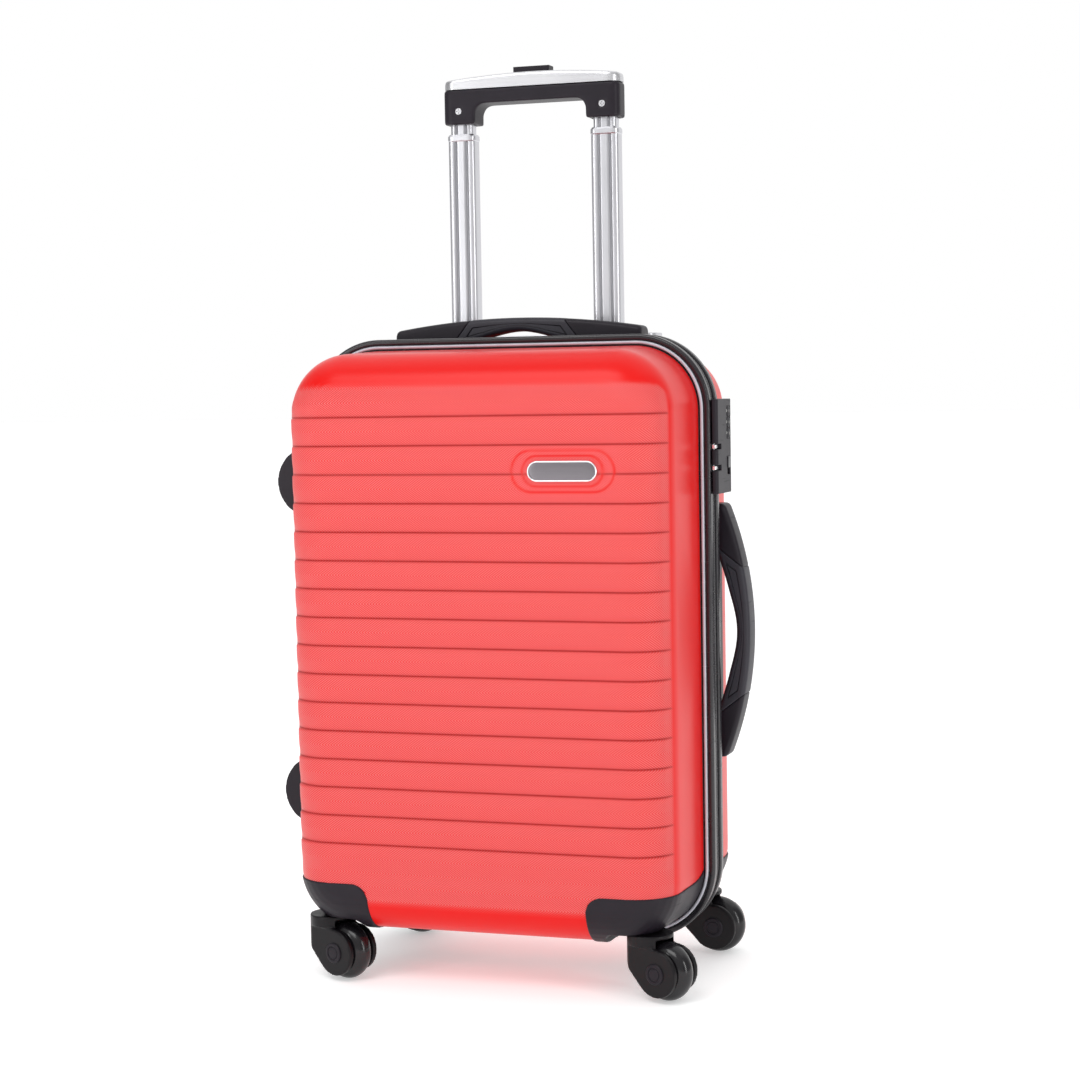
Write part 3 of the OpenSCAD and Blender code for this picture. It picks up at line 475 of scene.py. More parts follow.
# ---------------------------------------------------------------- wheel housings
# Four moulded nylon corners let into the trays and screwed from inside. A part
# moulded like this is remeshed to an even skin and eased, which breaks its edges.
grain, gi, go = new_group("moulded_grain", {"Place": ("Vector", None), "Fine": ("Float", 1500.0)},
                          {"Height": ("Float", None), "Mottle": ("Float", None)})
spark = add(grain, "ShaderNodeTexVoronoi", {"Randomness": 1.0})
grain.links.new(gi.outputs["Place"], spark.inputs["Vector"])
grain.links.new(gi.outputs["Fine"], spark.inputs["Scale"])
grain.links.new(spark.outputs["Distance"], go.inputs["Height"])
soft = add(grain, "ShaderNodeTexNoise", {"Scale": 60.0, "Detail": 2.0})
grain.links.new(gi.outputs["Place"], soft.inputs["Vector"])
grain.links.new(soft.outputs["Fac"], go.inputs["Mottle"])


def darkened(finish, attribute, share, colour):
    """Paints shade into a finish: mixes its colour towards a darker one by its share where the attribute is
    1.
    """
    tree = finish.node_tree
    shader = tree.nodes["Principled BSDF"]
    shade_mask = add(tree, "ShaderNodeAttribute", attribute_name=attribute)
    shaded = add(tree, "ShaderNodeMix", data_type="RGBA", values={7: (*colour, 1)})
    tree.links.new(shader.inputs["Base Color"].links[0].from_socket, shaded.inputs[6])
    tree.links.new(maths(tree, "MULTIPLY", shade_mask.outputs["Fac"], share), shaded.inputs[0])
    tree.links.new(shaded.outputs[2], shader.inputs["Base Color"])


def moulded(name, colour, rough, fine, depth, gloss=0.22, wear=0.12):
    """Moulded plastic: spark grain of fine cells to the metre, depth high, faint mottle in colour and
    gloss, scratches."""
    finish, tree, shader = new_finish(name, colour, rough, Specular_IOR_Level=gloss)
    spot = add(tree, "ShaderNodeTexCoord")
    texture = place(tree, grain, Place=spot.outputs["Object"], Fine=fine)
    used = place(tree, marks, Place=spot.outputs["Object"], Size=22.0)
    tree.links.new(tinted(tree, texture.outputs["Mottle"], [0.8 * c for c in colour],
                          [1.25 * c for c in colour]),
                   shader.inputs["Base Color"])
    cloudy = maths(tree, "MULTIPLY_ADD", used.outputs["Cloud"], 0.14, rough - 0.07)
    tree.links.new(maths(tree, "MULTIPLY_ADD", used.outputs["Hair"], wear, cloudy),
                   shader.inputs["Roughness"])
    raised(tree, shader, texture.outputs["Height"], depth, 0.5)
    return finish


charcoal = moulded("charcoal_nylon", (0.0130, 0.0100, 0.0150), 0.42, 1500.0, 0.00005)
black = moulded("black_plastic", (0.0065, 0.0060, 0.0075), 0.36, 1300.0, 0.00004)


def dress(finish, *nodes):
    """Gives a finish to CAD nodes that stay as they are."""
    for node in nodes:
        for slot in cad[node].material_slots:
            slot.material = finish


def softened(name, node, finish, body, voxel, passes):
    """A moulded part with broken edges: a merged copy of its node, remeshed to an even skin of voxel size,
    in which each point is then moved halfway to its neighbours' mean, passes times."""
    mesh = cad[node].data.copy()
    work = bmesh.new()
    work.from_mesh(mesh)
    bmesh.ops.remove_doubles(work, verts=work.verts, dist=2e-6)
    work.to_mesh(mesh)
    work.free()
    piece = bpy.data.objects.new(name, mesh)
    bpy.context.scene.collection.objects.link(piece)
    skin = piece.modifiers.new("skin", "REMESH")
    skin.mode, skin.voxel_size = "VOXEL", voxel
    ease = piece.modifiers.new("ease", "SMOOTH")
    ease.factor, ease.iterations = 0.5, passes
    applied(piece)
    return finished(piece, finish, body, [node], 180)


for end, half in (("front", "front_half"), ("back", "back_half")):
    for hand in ("left", "right"):
        softened(f"wheel_housing_{end}_{hand}", f"housing_{end}_{hand}", charcoal, half,
                 0.0011, 4)

brushed, gi, go = new_group("brushed_metal", {"Place": ("Vector", None), "Stretch": ("Vector", (20.0, 900.0,
                                                                                                900.0))},
                            {"Line": ("Float", None)})
draw = add(brushed, "ShaderNodeVectorMath", operation="MULTIPLY")
brushed.links.new(gi.outputs["Place"], draw.inputs[0])
brushed.links.new(gi.outputs["Stretch"], draw.inputs[1])
streak = add(brushed, "ShaderNodeTexNoise", {"Scale": 1.0, "Detail": 2.0})
brushed.links.new(draw.outputs[0], streak.inputs["Vector"])
brushed.links.new(streak.outputs["Fac"], go.inputs["Line"])


def metal(name, colour, rough, stretch, depth):
    """Bare metal with drawn or brushed lines: stretch is the lines to the metre along x, y and z, depth
    their height."""
    finish, tree, shader = new_finish(name, colour, rough, Metallic=1.0)
    spot = add(tree, "ShaderNodeTexCoord")
    lines = place(tree, brushed, Place=spot.outputs["Object"], Stretch=stretch)
    used = place(tree, marks, Place=spot.outputs["Object"], Size=30.0)
    tree.links.new(tinted(tree, lines.outputs["Line"], [0.93 * c for c in colour],
                          [min(1, 1.05 * c) for c in colour]),
                   shader.inputs["Base Color"])
    cloudy = maths(tree, "MULTIPLY_ADD", used.outputs["Cloud"], 0.10, rough - 0.05)
    tree.links.new(maths(tree, "MULTIPLY_ADD", lines.outputs["Line"], 0.08, cloudy),
                   shader.inputs["Roughness"])
    raised(tree, shader, lines.outputs["Line"], depth, 0.4)
    return finish


steel = metal("zinc_plated_steel", (0.60, 0.60, 0.62), 0.34, (500.0, 500.0, 500.0), 0.00002)
dress(steel, "back_screws", "front_screws")

# ---------------------------------------------------------------- rubber piping
# A black rubber profile clamped round each rim, with a silver grey bead run in
# the groove beside the shell. Each is one section carried round the outline.
RIM_LOOP = outline_loop(np.array([-CORE_W, 0, CORE_W]), np.array([-CORE_H, 0, CORE_H]), 14)[0]


def grid_part(grid, closed=(False, False), ends=()):
    """Points, faces and corner map of a grid, closed along its rows or its columns, with a face over the
    first or last row named in ends. The map holds metres: rows add up along u and columns along v."""
    grid = np.asarray(grid, float)
    rows, columns = grid.shape[:2]
    quads = grid_faces(rows, columns, *closed)
    run_u = np.concatenate([[0], np.cumsum(np.linalg.norm(np.roll(grid, -1, 0) - grid, axis=2).mean(1))])
    run_v = np.concatenate([[0], np.cumsum(np.linalg.norm(np.roll(grid, -1, 1) - grid, axis=2).mean(0))])
    r = np.arange(rows if closed[0] else rows - 1)[:, None, None]
    c = np.arange(columns if closed[1] else columns - 1)[None, :, None]
    u = run_u[r + np.array([0, 0, 1, 1])] + 0 * c
    v = run_v[c + np.array([0, 1, 1, 0])] + 0 * r
    faces = quads.tolist()
    run = [np.stack([u, v], -1).reshape(-1, 2)]
    for end in ends:
        faces.append(list(range(columns)) if end == "first" else list(range((rows - 1) * columns,
                                                                            rows * columns)))
        run.append(np.zeros((columns, 2)))
    return grid.reshape(-1, 3), faces, np.concatenate(run)


def joined(parts):
    """Several grid parts as one."""
    shift, faces = 0, []
    for points, own, _ in parts:
        faces += [[i + shift for i in f] for f in own]
        shift += len(points)
    return np.concatenate([p for p, _, _ in parts]), faces, np.concatenate([r for _, _, r in parts])


def surface(name, parts, finish, body, stands_for=(), sharp=35):
    """A piece made of grid parts."""
    points, faces, run = joined(parts)
    return make_piece(name, points, faces, finish, body, stands_for, sharp, run)


def round_rim(section, back):
    """A section of [distance outside the rim, depth] carried round the outline: the outline's core line
    plus its normal times the corner radius and that distance."""
    section = np.asarray(section, float) * mm
    rho = CORNER_R + section[None, :, 0]
    x = RIM_LOOP[:, :1] + rho * RIM_LOOP[:, 2:3]
    z = MID_Z + RIM_LOOP[:, 1:2] + rho * RIM_LOOP[:, 3:4]
    y = np.broadcast_to(section[None, :, 1] * (1 if back else -1), x.shape)
    return grid_part(np.stack([x, y, z], -1), (True, True))


def arc(centre, radius, start, stop, steps):
    """Points of an arc in degrees."""
    a = np.radians(np.linspace(start, stop, steps))
    return np.stack([centre[0] + radius * np.cos(a), centre[1] + radius * np.sin(a)], 1)


rubber = moulded("piping_rubber", (0.0120, 0.0105, 0.0140), 0.27, 900.0, 0.00002, 0.55)
grey_bead = moulded("silver_grey_bead", (0.50, 0.50, 0.56), 0.24, 700.0, 0.00001, 0.6)
BAND_IN = 5.5
PROUD = 9.5
piping = np.concatenate([[[-1.8, 15.0], [0.3, 14.7], [0.9, 13.4], [4.5, 13.2]], arc((6.2, 13.2), 1.7, 180,
                                                                                    90, 6),
                         arc((7.4, 12.8), 2.1, 90, 0, 8), [[PROUD, 8.2], [PROUD - 0.35, 7.8], [PROUD - 0.35,
                                                                                               7.3],
                                                          [PROUD, 6.9]],
                         arc((PROUD - 1.1, BAND_IN + 1.1), 1.1, 0, -90, 4), [[-1.8, BAND_IN]]])
for side, back in (("front", False), ("back", True)):
    surface(f"{side}_piping", [round_rim(piping, back)], rubber, f"{side}_half", [f"{side}_band"],
            40)
    surface(f"{side}_bead", [round_rim(arc((2.75, 14.3), 1.3, 0, 345, 14), back)], grey_bead, f"{side}_half",
            (), 60)

# ---------------------------------------------------------------- zip
# A coil zip on woven polyester tape runs round three sides: the tape is an angle
# glued under the rubber, and each tooth is a small rounded bar sewn to its edge.
weave, gi, go = new_group("plain_weave", {"Place": ("Vector", None), "Thread": ("Float", 0.0008)},
                          {"Height": ("Float", None), "Shade": ("Float", None)})
split = add(weave, "ShaderNodeSeparateXYZ")
weave.links.new(gi.outputs["Place"], split.inputs[0])
per = maths(weave, "DIVIDE", 2 * math.pi, gi.outputs["Thread"])
warp = maths(weave, "SINE", maths(weave, "MULTIPLY", split.outputs["X"], per))
weft = maths(weave, "SINE", maths(weave, "MULTIPLY", split.outputs["Y"], per))
weave.links.new(maths(weave, "MULTIPLY_ADD", maths(weave, "MULTIPLY", warp, weft), 0.5, 0.5),
                go.inputs["Height"])
slub = add(weave, "ShaderNodeTexNoise", {"Scale": 300.0, "Detail": 2.0})
weave.links.new(gi.outputs["Place"], slub.inputs["Vector"])
weave.links.new(maths(weave, "MULTIPLY_ADD", maths(weave, "MULTIPLY", warp, weft), 0.3, slub.outputs["Fac"]),
                go.inputs["Shade"])


def cloth(name, colour, thread, depth, rough=0.8, sheen=0.3):
    """Woven cloth: threads of the given spacing in metres, depth high, in a slightly uneven colour."""
    finish, tree, shader = new_finish(name, colour, rough, Specular_IOR_Level=0.25, Sheen_Weight=sheen)
    run = add(tree, "ShaderNodeUVMap", uv_map="run")
    threads = place(tree, weave, Place=run.outputs[0], Thread=thread)
    tree.links.new(tinted(tree, threads.outputs["Shade"], [0.55 * c for c in colour],
                          [1.35 * c for c in colour]),
                   shader.inputs["Base Color"])
    raised(tree, shader, threads.outputs["Height"], depth, 0.8)
    return finish


tape_cloth = cloth("zip_tape", (0.030, 0.028, 0.033), 0.0009, 0.00025)
tooth_nylon = moulded("zip_teeth", (0.020, 0.019, 0.023), 0.3, 1200.0, 0.00001, 0.55)
TAPE_OUT = PROUD - 2
tape = [[0.2, BAND_IN - 0.02], [TAPE_OUT - 0.5, BAND_IN - 0.02], [TAPE_OUT, BAND_IN - 0.5], [TAPE_OUT, 1.6],
        [TAPE_OUT - 1.2, 1.6], [TAPE_OUT - 1.2, BAND_IN - 1.2], [0.2, BAND_IN - 1.2]]
TOOTH_PITCH = 0.0021


def teeth(back):
    """Rounded bars across the tape's edge at an even spacing along the outline, half a spacing apart on the
    two halves. Each is a hexagon carried from root to rounded tip."""
    line = RIM_LOOP[:, :2] + (CORNER_R + TAPE_OUT * mm) * RIM_LOOP[:, 2:]
    far = np.concatenate([[0], np.cumsum(np.linalg.norm(np.roll(line, -1, 0) - line, axis=1))])
    count = int(far[-1] / TOOTH_PITCH)
    at = (np.arange(count) + (0.5 if back else 0.0)) * far[-1] / count
    loop = np.concatenate([RIM_LOOP, RIM_LOOP[:1]])
    here = np.stack([np.interp(at, far, loop[:, k]) for k in range(4)], 1)
    normal = here[:, 2:] / np.linalg.norm(here[:, 2:], axis=1, keepdims=True)
    here = here[:, :2] + (CORNER_R + TAPE_OUT * mm) * here[:, 2:]
    along = np.stack([-normal[:, 1], normal[:, 0]], 1)
    a = np.radians(np.arange(0, 360, 60))
    reach = np.array([-2.1, -0.2, 0.35, 0.55])[:, None] * mm
    thin = np.array([1, 1, 0.85, 0.45])[:, None]
    out = np.broadcast_to(reach, (4, 6))
    wide = thin * np.cos(a) * 0.00070
    deep = 0.00088 + thin * np.sin(a) * 0.00070
    flat = (here[:, None, None] + normal[:, None, None] * out[None, ..., None]
            + along[:, None, None] * wide[None, ..., None])
    y = np.broadcast_to(deep[None] * (1 if back else -1), flat.shape[:3])
    grid = np.stack([flat[..., 0], y, MID_Z + flat[..., 1]], -1)
    quads = grid_faces(4, 6, False, True)
    faces = (quads[None] + 24 * np.arange(count)[:, None, None]).reshape(-1, 4).tolist()
    faces += (np.arange(18, 24)[None] + 24 * np.arange(count)[:, None]).tolist()
    faces += (np.arange(0, 6)[None] + 24 * np.arange(count)[:, None]).tolist()
    return grid.reshape(-1, 3), faces


for side, back in (("front", False), ("back", True)):
    surface(f"{side}_zip_cloth", [round_rim(tape, back)], tape_cloth, f"{side}_half", [f"{side}_zip_tape"])
    points, faces = teeth(back)
    make_piece(f"{side}_teeth", points, faces, tooth_nylon, f"{side}_half", [f"{side}_zip_teeth"],
               50)

chrome = metal("bright_zinc", (0.88, 0.88, 0.90), 0.14, (300.0, 300.0, 300.0), 0.00001)
softened("zip_slider_bodies", "zip_sliders", chrome, "back_half", 0.0004, 3)
softened("zip_pulls", "zip_pullers", chrome, "back_half", 0.0003, 3)

# ---------------------------------------------------------------- fold cloth
# A strip of the lining cloth sewn inside the left edge of both trays, where the
# case folds open; here it rides on neither half.
lining_cloth = cloth("lining_satin", (0.070, 0.068, 0.075), 0.0007, 0.00015, 0.55, 0.5)
lo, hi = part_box("hinge_fabric")
y = np.linspace(0.0052, -0.0052, 15)
z = np.linspace(lo[2], hi[2], 60)
bow = 0.0012 * (1 - (y / 0.0052) ** 2)
strip = np.stack([np.broadcast_to(lo[0] + 0.0012 + bow[:, None], (15, 60)), np.broadcast_to(y[:, None], (15,
                                                                                                         60)),
                  np.broadcast_to(z[None], (15, 60))], -1)
fold_cloth = surface("fold_cloth", [grid_part(strip)], lining_cloth, None, ["hinge_fabric"])
thick = fold_cloth.modifiers.new("thick", "SOLIDIFY")
thick.thickness, thick.offset = 0.0006, 0
applied(fold_cloth)
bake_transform(fold_cloth)

# ---------------------------------------------------------------- linings
# Satin cloth on a thin foam backing lines both trays. The base's lining lies flat
# over the trolley tubes; the lid's follows the shell.


def lining(name, body, node, section, back):
    """A lining of one section carried round the outline, closed over its floor and given its thickness, cut
    for the wheel housings and the lock."""
    points, faces, run = round_rim(section, back)
    columns = len(section)
    kept = [f for f in faces if not {f[0] % columns, f[1] % columns} == {0, columns - 1}]
    index = [i for i, f in enumerate(faces) if not {f[0] % columns, f[1] % columns} == {0, columns - 1}]
    run = run.reshape(-1, 4, 2)[index].reshape(-1, 2)
    floor = [i * columns + columns - 1 for i in range(len(RIM_LOOP))]
    flat_run = points[floor][:, [0, 2]]
    piece = make_piece(name, points, kept + [floor], lining_cloth, body, [node], 40,
                       np.concatenate([run, flat_run]))
    thick = piece.modifiers.new("thick", "SOLIDIFY")
    thick.thickness, thick.offset = 0.0010, -1
    applied(piece)
    s = 1 if back else -1
    ys = sorted([s * 0.008, s * 0.14])
    lows = [[HOUSE_X - 0.001, ys[0], 0], [-0.3, ys[0], 0]]
    highs = [[0.3, ys[1], HOUSE_Z + 0.001], [-HOUSE_X + 0.001, ys[1], HOUSE_Z + 0.001]]
    if back:
        lo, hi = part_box("lock_housing")
        lows.append([HALF_W - 0.012, 0.0135, lo[2]])
        highs.append([0.2, 0.0385, hi[2]])
    cut_away(piece, lows, highs)
    return piece


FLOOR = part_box("back_lining")[1][1] * 1000
INSET = -4.2
SLOPE = math.tan(DRAFT)
base_section = np.concatenate([[[INSET, 15.2]], arc((INSET - (FLOOR - 7 - 15.2) * SLOPE - 7, FLOOR - 7), 7,
                                                    0, 90, 6),
                               [[-42, FLOOR]]])
lining("base_lining", "back_half", "back_lining", base_section, True)
line = tray_contour(INSET * mm, 3, 9)
lid_section = np.concatenate([(line[:, :2] - [CORNER_R, 0]) / mm, [[-42, (FACE_Y + INSET * mm) / mm]]])
lining("lid_lining", "front_half", "front_lining", lid_section, False)

# ---------------------------------------------------------------- lid pocket
# A flat net pocket on the lid's lining, bound all round in woven tape.
webbing = cloth("black_webbing", (0.016, 0.015, 0.018), 0.0016, 0.0005, 0.7, 0.2)
net, tree, shader = new_finish("pocket_net", (0.05, 0.05, 0.055), 0.7, Specular_IOR_Level=0.2,
                               Sheen_Weight=0.2)
run = add(tree, "ShaderNodeUVMap", uv_map="run")
holes = place(tree, weave, Place=run.outputs[0], Thread=0.0032)
open_share = maths(tree, "SMOOTH_MIN", maths(tree, "MULTIPLY", holes.outputs["Height"], 2.0), 1.0, 0.3)
tree.links.new(tinted(tree, open_share, (0.012, 0.012, 0.014), (0.075, 0.073, 0.08)),
               shader.inputs["Base Color"])
raised(tree, shader, open_share, 0.0004, 0.9)

lo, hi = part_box("mesh_pocket")
x = np.linspace(lo[0] + 0.004, hi[0] - 0.004, 43)
z = np.linspace(lo[2] + 0.004, hi[2] - 0.004, 51)
u, v = np.meshgrid((x - x.mean()) / (x[-1] - x.mean()), (z - z.mean()) / (z[-1] - z.mean()), indexing="ij")
slack = 0.0011 * (1 - u ** 4) * (1 - v ** 4) + 0.0003 * np.sin(9 * v) * np.cos(7 * u)
back_y = max(lo[1], hi[1])
pocket = np.stack([np.broadcast_to(x[:, None], u.shape), back_y - 0.0010 + slack,
                   np.broadcast_to(z[None], u.shape)], -1)
pocket_net = surface("pocket_net", [grid_part(pocket)], net, "front_half", ["mesh_pocket"])
thick = pocket_net.modifiers.new("thick", "SOLIDIFY")
thick.thickness, thick.offset = 0.0006, 0
applied(pocket_net)


def rounded_outline(w, t, r, flats=(), steps=6):
    """Closed outline of a w by t rectangle, its corners arcs of radius r. Flats gives further points along
    the two w sides."""
    a, b = w / 2 - r, t / 2 - r
    turn = np.radians(np.linspace(0, 90, steps))
    flats = np.asarray(flats, float)
    front = np.stack([flats, np.full(len(flats), -t / 2)], 1)
    corners = [np.stack([cx + r * np.cos(turn + q), cz + r * np.sin(turn + q)], 1)
               for cx, cz, q in ((a, -b, -math.pi / 2), (a, b, 0), (-a, b, math.pi / 2), (-a, -b, math.pi))]
    return np.concatenate([front, corners[0], corners[1], -front, corners[2], corners[3]])


frame_w, frame_h = hi[0] - lo[0], hi[2] - lo[2]
rows = [rounded_outline(frame_w - 2 * i, frame_h - 2 * i, 0.012 - i * 0.8, (), 6) for i in (0, 0.010, 0.010,
                                                                                            0)]
depth = np.array([0.0016, 0.0016, 0.0002, 0.0002])
binding = np.stack([np.stack([r[:, 0], np.full(len(r), back_y - d), r[:, 1] + (lo[2] + hi[2]) / 2], 1)
                    for r, d in zip(rows, depth)])
pocket_tape = surface("pocket_binding", [grid_part(binding, (True, True))], webbing, "front_half", ())

# ---------------------------------------------------------------- packing straps
# Two crossed webbing straps sewn into the base lining meet in a side release
# buckle. Each arm is a flat ribbon that rises a little over its middle.
lo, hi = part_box("packing_straps")
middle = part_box("strap_buckle")
centre_z = (middle[0][2] + middle[1][2]) / 2
arms = []
for s in (-1, 1):
    for v in (-1, 1):
        r = np.linspace(0.0205, 0.1595, 36)[:, None]
        w = np.linspace(-0.0125, 0.0125, 9)[None]
        lean = math.radians(52) * v
        x = s * r * math.cos(lean) + w * math.sin(lean)
        z = centre_z - s * r * math.sin(lean) + w * math.cos(lean)
        y = (lo[1] + hi[1]) / 2 - 0.0004 * np.cos(np.pi * w / 0.026) * (1 + 0.3 * np.sin(r * 60))
        arms.append(grid_part(np.stack([x, y, z], -1)))
straps = surface("packing_webbing", arms, webbing, "back_half", ["packing_straps"])
thick = straps.modifiers.new("thick", "SOLIDIFY")
thick.thickness, thick.offset = 0.0011, 0
applied(straps)
softened("side_release_buckle", "strap_buckle", black, "back_half", 0.0009, 5)

# ---------------------------------------------------------------- lock
# A moulded lock bridges the two halves at the right: three zinc number dials on
# one shaft, two notches that hold the zip pulls, and a release button.
softened("lock_body", "lock_housing", charcoal, "back_half", 0.0005, 5)
dress(steel, "lock_shaft")
black_nickel = metal("black_nickel_plate", (0.045, 0.044, 0.048), 0.26, (400.0, 400.0, 400.0), 0.00001)
softened("release_key", "lock_button", black_nickel, "lock_button", 0.0003, 3)

joints = {j["name"]: j for j in frame["joints"]}
ink = moulded("dial_ink", (0.62, 0.62, 0.60), 0.5, 1500.0, 0.00001)
DIAL_R = 0.007
DIAL_T = 0.0076


def number_dial(i):
    """A dial: ten shallow flutes cut into a cylinder with eased edges, as radius against angle and height,
    and the ten digits stood round it between the flutes."""
    centre = np.array(joints[f"dial_{i}_turn"]["pos_m"])
    turn = np.linspace(0, 2 * math.pi, 240, endpoint=False)
    from_flute = (turn - math.radians(18) + math.radians(18)) % math.radians(36) - math.radians(18)
    flute = 0.00048 * np.exp(-(from_flute * DIAL_R / 0.00055) ** 2)
    rise = np.array([-0.5, -0.5, -0.44, -0.2, 0.2, 0.44, 0.5, 0.5]) * DIAL_T
    reach = np.array([0.0017, DIAL_R - 0.0006, DIAL_R - 0.00008, DIAL_R - 0.00008, DIAL_R - 0.00008,
                      DIAL_R - 0.00008,
                      DIAL_R - 0.0006, 0.0017])
    r = reach[:, None] - flute[None] * (reach[:, None] > 0.004)
    grid = np.stack([centre[0] + r * np.cos(turn), centre[1] + r * np.sin(turn),
                     np.broadcast_to(centre[2] + rise[:, None], r.shape)], -1)
    surface(f"number_dial_{i}", [grid_part(grid, (True, True))], black_nickel, f"dial_{i}",
            [f"lock_dial_{i}"],
            30)
    for digit in range(10):
        curve = bpy.data.curves.new(f"digit_{i}_{digit}", "FONT")
        curve.body, curve.size, curve.extrude = str(digit), 0.0034, 0.0001
        curve.align_x, curve.align_y, curve.resolution_u = "CENTER", "CENTER", 3
        text = bpy.data.objects.new("digit", curve)
        bpy.context.scene.collection.objects.link(text)
        mesh = bpy.data.meshes.new_from_object(text.evaluated_get(bpy.context.evaluated_depsgraph_get()))
        bpy.data.objects.remove(text)
        bpy.data.curves.remove(curve)
        flat = np.zeros(len(mesh.vertices) * 3)
        mesh.vertices.foreach_get("co", flat)
        flat = flat.reshape(-1, 3)
        a = math.radians(36 * digit) + flat[:, 0] / DIAL_R
        r = DIAL_R - 0.00008 + np.where(flat[:, 2] > 0, 0.00006, -0.0002)
        bent = np.stack([centre[0] + r * np.cos(a), centre[1] + r * np.sin(a), centre[2] + flat[:, 1]], 1)
        mesh.vertices.foreach_set("co", bent.ravel())
        mesh.name = f"digit_{i}_{digit}"
        digits = bpy.data.objects.new(mesh.name, mesh)
        bpy.context.scene.collection.objects.link(digits)
        finished(digits, ink, f"dial_{i}", (), 60)


for i in (1, 2, 3):
    number_dial(i)

# ---------------------------------------------------------------- trolley
# Two telescoping aluminium tubes a side: the outer ones are fixed in the base, the
# middle and inner ones slide. Each is drawn with two flutes down both faces.
anodised = metal("anodised_aluminium", (0.64, 0.64, 0.67), 0.28, (1400.0, 1400.0, 12.0), 0.00001)
# painted shade: the flutes' colour is darkened where they would lie in shade
darkened(anodised, "flute", 0.75, (0.16, 0.16, 0.18))
satin = metal("satin_cap", (0.66, 0.66, 0.68), 0.30, (16.0, 1500.0, 1500.0), 0.00001)
dress(anodised, "outer_tubes")
dress(steel, "release_rods")
dress(black, "tube_bracket")
softened("trolley_collar_plate", "trolley_bezel", anodised, "back_half", 0.0009, 3)
TUBE_Y = (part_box("mid_tubes")[0][1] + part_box("mid_tubes")[1][1]) / 2
TUBE_X = (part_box("mid_tubes")[1][0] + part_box("mid_tubes")[0][0]) / 2 + TUBE_OUT


def fluted_outline(w, t, r, gap, wide, deep):
    """Rounded rectangle whose two long sides are pressed in by two round flutes: deep times the squared
    cosine across the flute's width, gap apart."""
    outline = rounded_outline(w, t, r, np.linspace(-w / 2 + r, w / 2 - r, 41)[1:-1], 8)
    dip = np.zeros(len(outline))
    for middle in (-gap / 2, gap / 2):
        near = np.clip((outline[:, 0] - middle) / wide, -0.5, 0.5)
        dip += np.cos(np.pi * near) ** 2 * (np.abs(outline[:, 1]) > t / 2 - r * 0.2)
    outline[:, 1] -= np.sign(outline[:, 1]) * deep * dip
    return outline, dip


def upright(rows, centre_x, closed_rows=False):
    """Stacks outlines of [across, back] at their heights, each given as (outline, height)."""
    grid = np.stack([np.stack([centre_x + o[:, 0], TUBE_Y + o[:, 1], np.full(len(o), z)], 1) for o,
                     z in rows])
    return grid_part(grid, (closed_rows, True), () if closed_rows else ("first", "last"))


lo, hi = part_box("mid_tubes")
MID_W = 0.024
MID_T = hi[1] - lo[1]
MID_R = 0.0036


def fluted_tubes(name, profile, dip, bottom, top, body, node):
    """Both tubes of a stage, each its outline drawn from bottom to top, with its flutes marked for a
    painted shade that darkens their colour."""
    tubes = surface(name, [upright([(profile, bottom), (profile, top)], x) for x in (-TUBE_X, TUBE_X)],
                    anodised, body,
                    [node], 30)
    # painted shade: the flute depth is stored to darken the flutes' colour
    mark = tubes.data.attributes.new("flute", "FLOAT", "POINT")
    mark.data.foreach_set("value", np.tile(dip, 4).astype(np.float32))


fluted_tubes("middle_tubes", *fluted_outline(MID_W - 0.0001, MID_T - 0.0001, MID_R, 0.0098, 0.0046, 0.0010),
             lo[2],
             hi[2], "trolley_mid", "mid_tubes")
lo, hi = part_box("inner_tubes")
IN_W, IN_T = 2 * (hi[0] - TUBE_X), hi[1] - lo[1]
fluted_tubes("inner_tubes_fluted", *fluted_outline(IN_W - 0.0001, IN_T - 0.0001, 0.0032, 0.0084, 0.0040,
                                                   0.0008), lo[2],
             hi[2], "trolley_inner", "inner_tubes")
# ferrule with chamfered ends round each tube's mouth, and the guide block on its lower end
lo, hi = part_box("mid_collars")
parts = []
for x in (-TUBE_X, TUBE_X):
    collar = []
    for w, t, r, z in ((0.0238, 0.0168, 0.0040, -0.0060), (0.0250, 0.0180, 0.0045, -0.0052),
                       (0.0250, 0.0180, 0.0045, -0.0016), (0.0226, 0.0163, 0.0040, 0.0),
                       (0.0206, 0.0146, 0.0038, 0.0), (0.0206, 0.0146, 0.0038, -0.0060)):
        collar.append((rounded_outline(w, t, r, np.linspace(-0.006, 0.006, 5), 8), hi[2] + z))
    parts.append(upright(collar, x, True))
    guide = rounded_outline(0.0253, 0.0183, 0.0036, np.linspace(-0.006, 0.006, 5), 8)
    parts.append(upright([(guide, lo[2]), (guide, lo[2] + 0.012)], x))
surface("tube_ferrules", parts, anodised, "trolley_mid", ["mid_collars"], 25)

softened("trolley_grip", "grip_body", charcoal, "trolley_inner", 0.0010, 26)
lo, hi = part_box("grip_cap")
CAP_L, CAP_D, CAP_RISE, CAP_BOW = hi[0] - lo[0], hi[1] - lo[1], hi[2] - lo[2], 0.0045
t = np.linspace(-1, 1, 121)
x = np.sign(t) * (1 - (1 - np.abs(t)) ** 1.6) * CAP_L / 2
bow = CAP_BOW * (x / (CAP_L / 2)) ** 2
to_end = CAP_L / 2 - np.abs(x)
roll = 0.0032
height = CAP_RISE - bow - roll + np.sqrt(np.maximum(roll ** 2 - np.maximum(roll - to_end, 0) ** 2, 0))
turn_in = 0.010
half = CAP_D / 2 - turn_in + np.sqrt(np.maximum(turn_in ** 2 - np.maximum(turn_in - to_end, 0) ** 2, 0))
q = np.radians(np.linspace(0, 90, 8))
side_y = np.concatenate([[1.0], np.full(8, 1.0), np.full(8, -1.0), [-1.0]])
lean_y = np.concatenate([[0.0], np.cos(q) - 1, 1 - np.cos(q[::-1]), [0.0]])
lift = np.concatenate([[0.0], np.sin(q), np.sin(q[::-1]), [0.0]])
edge = np.concatenate([[0.0], np.ones(16), [0.0]])
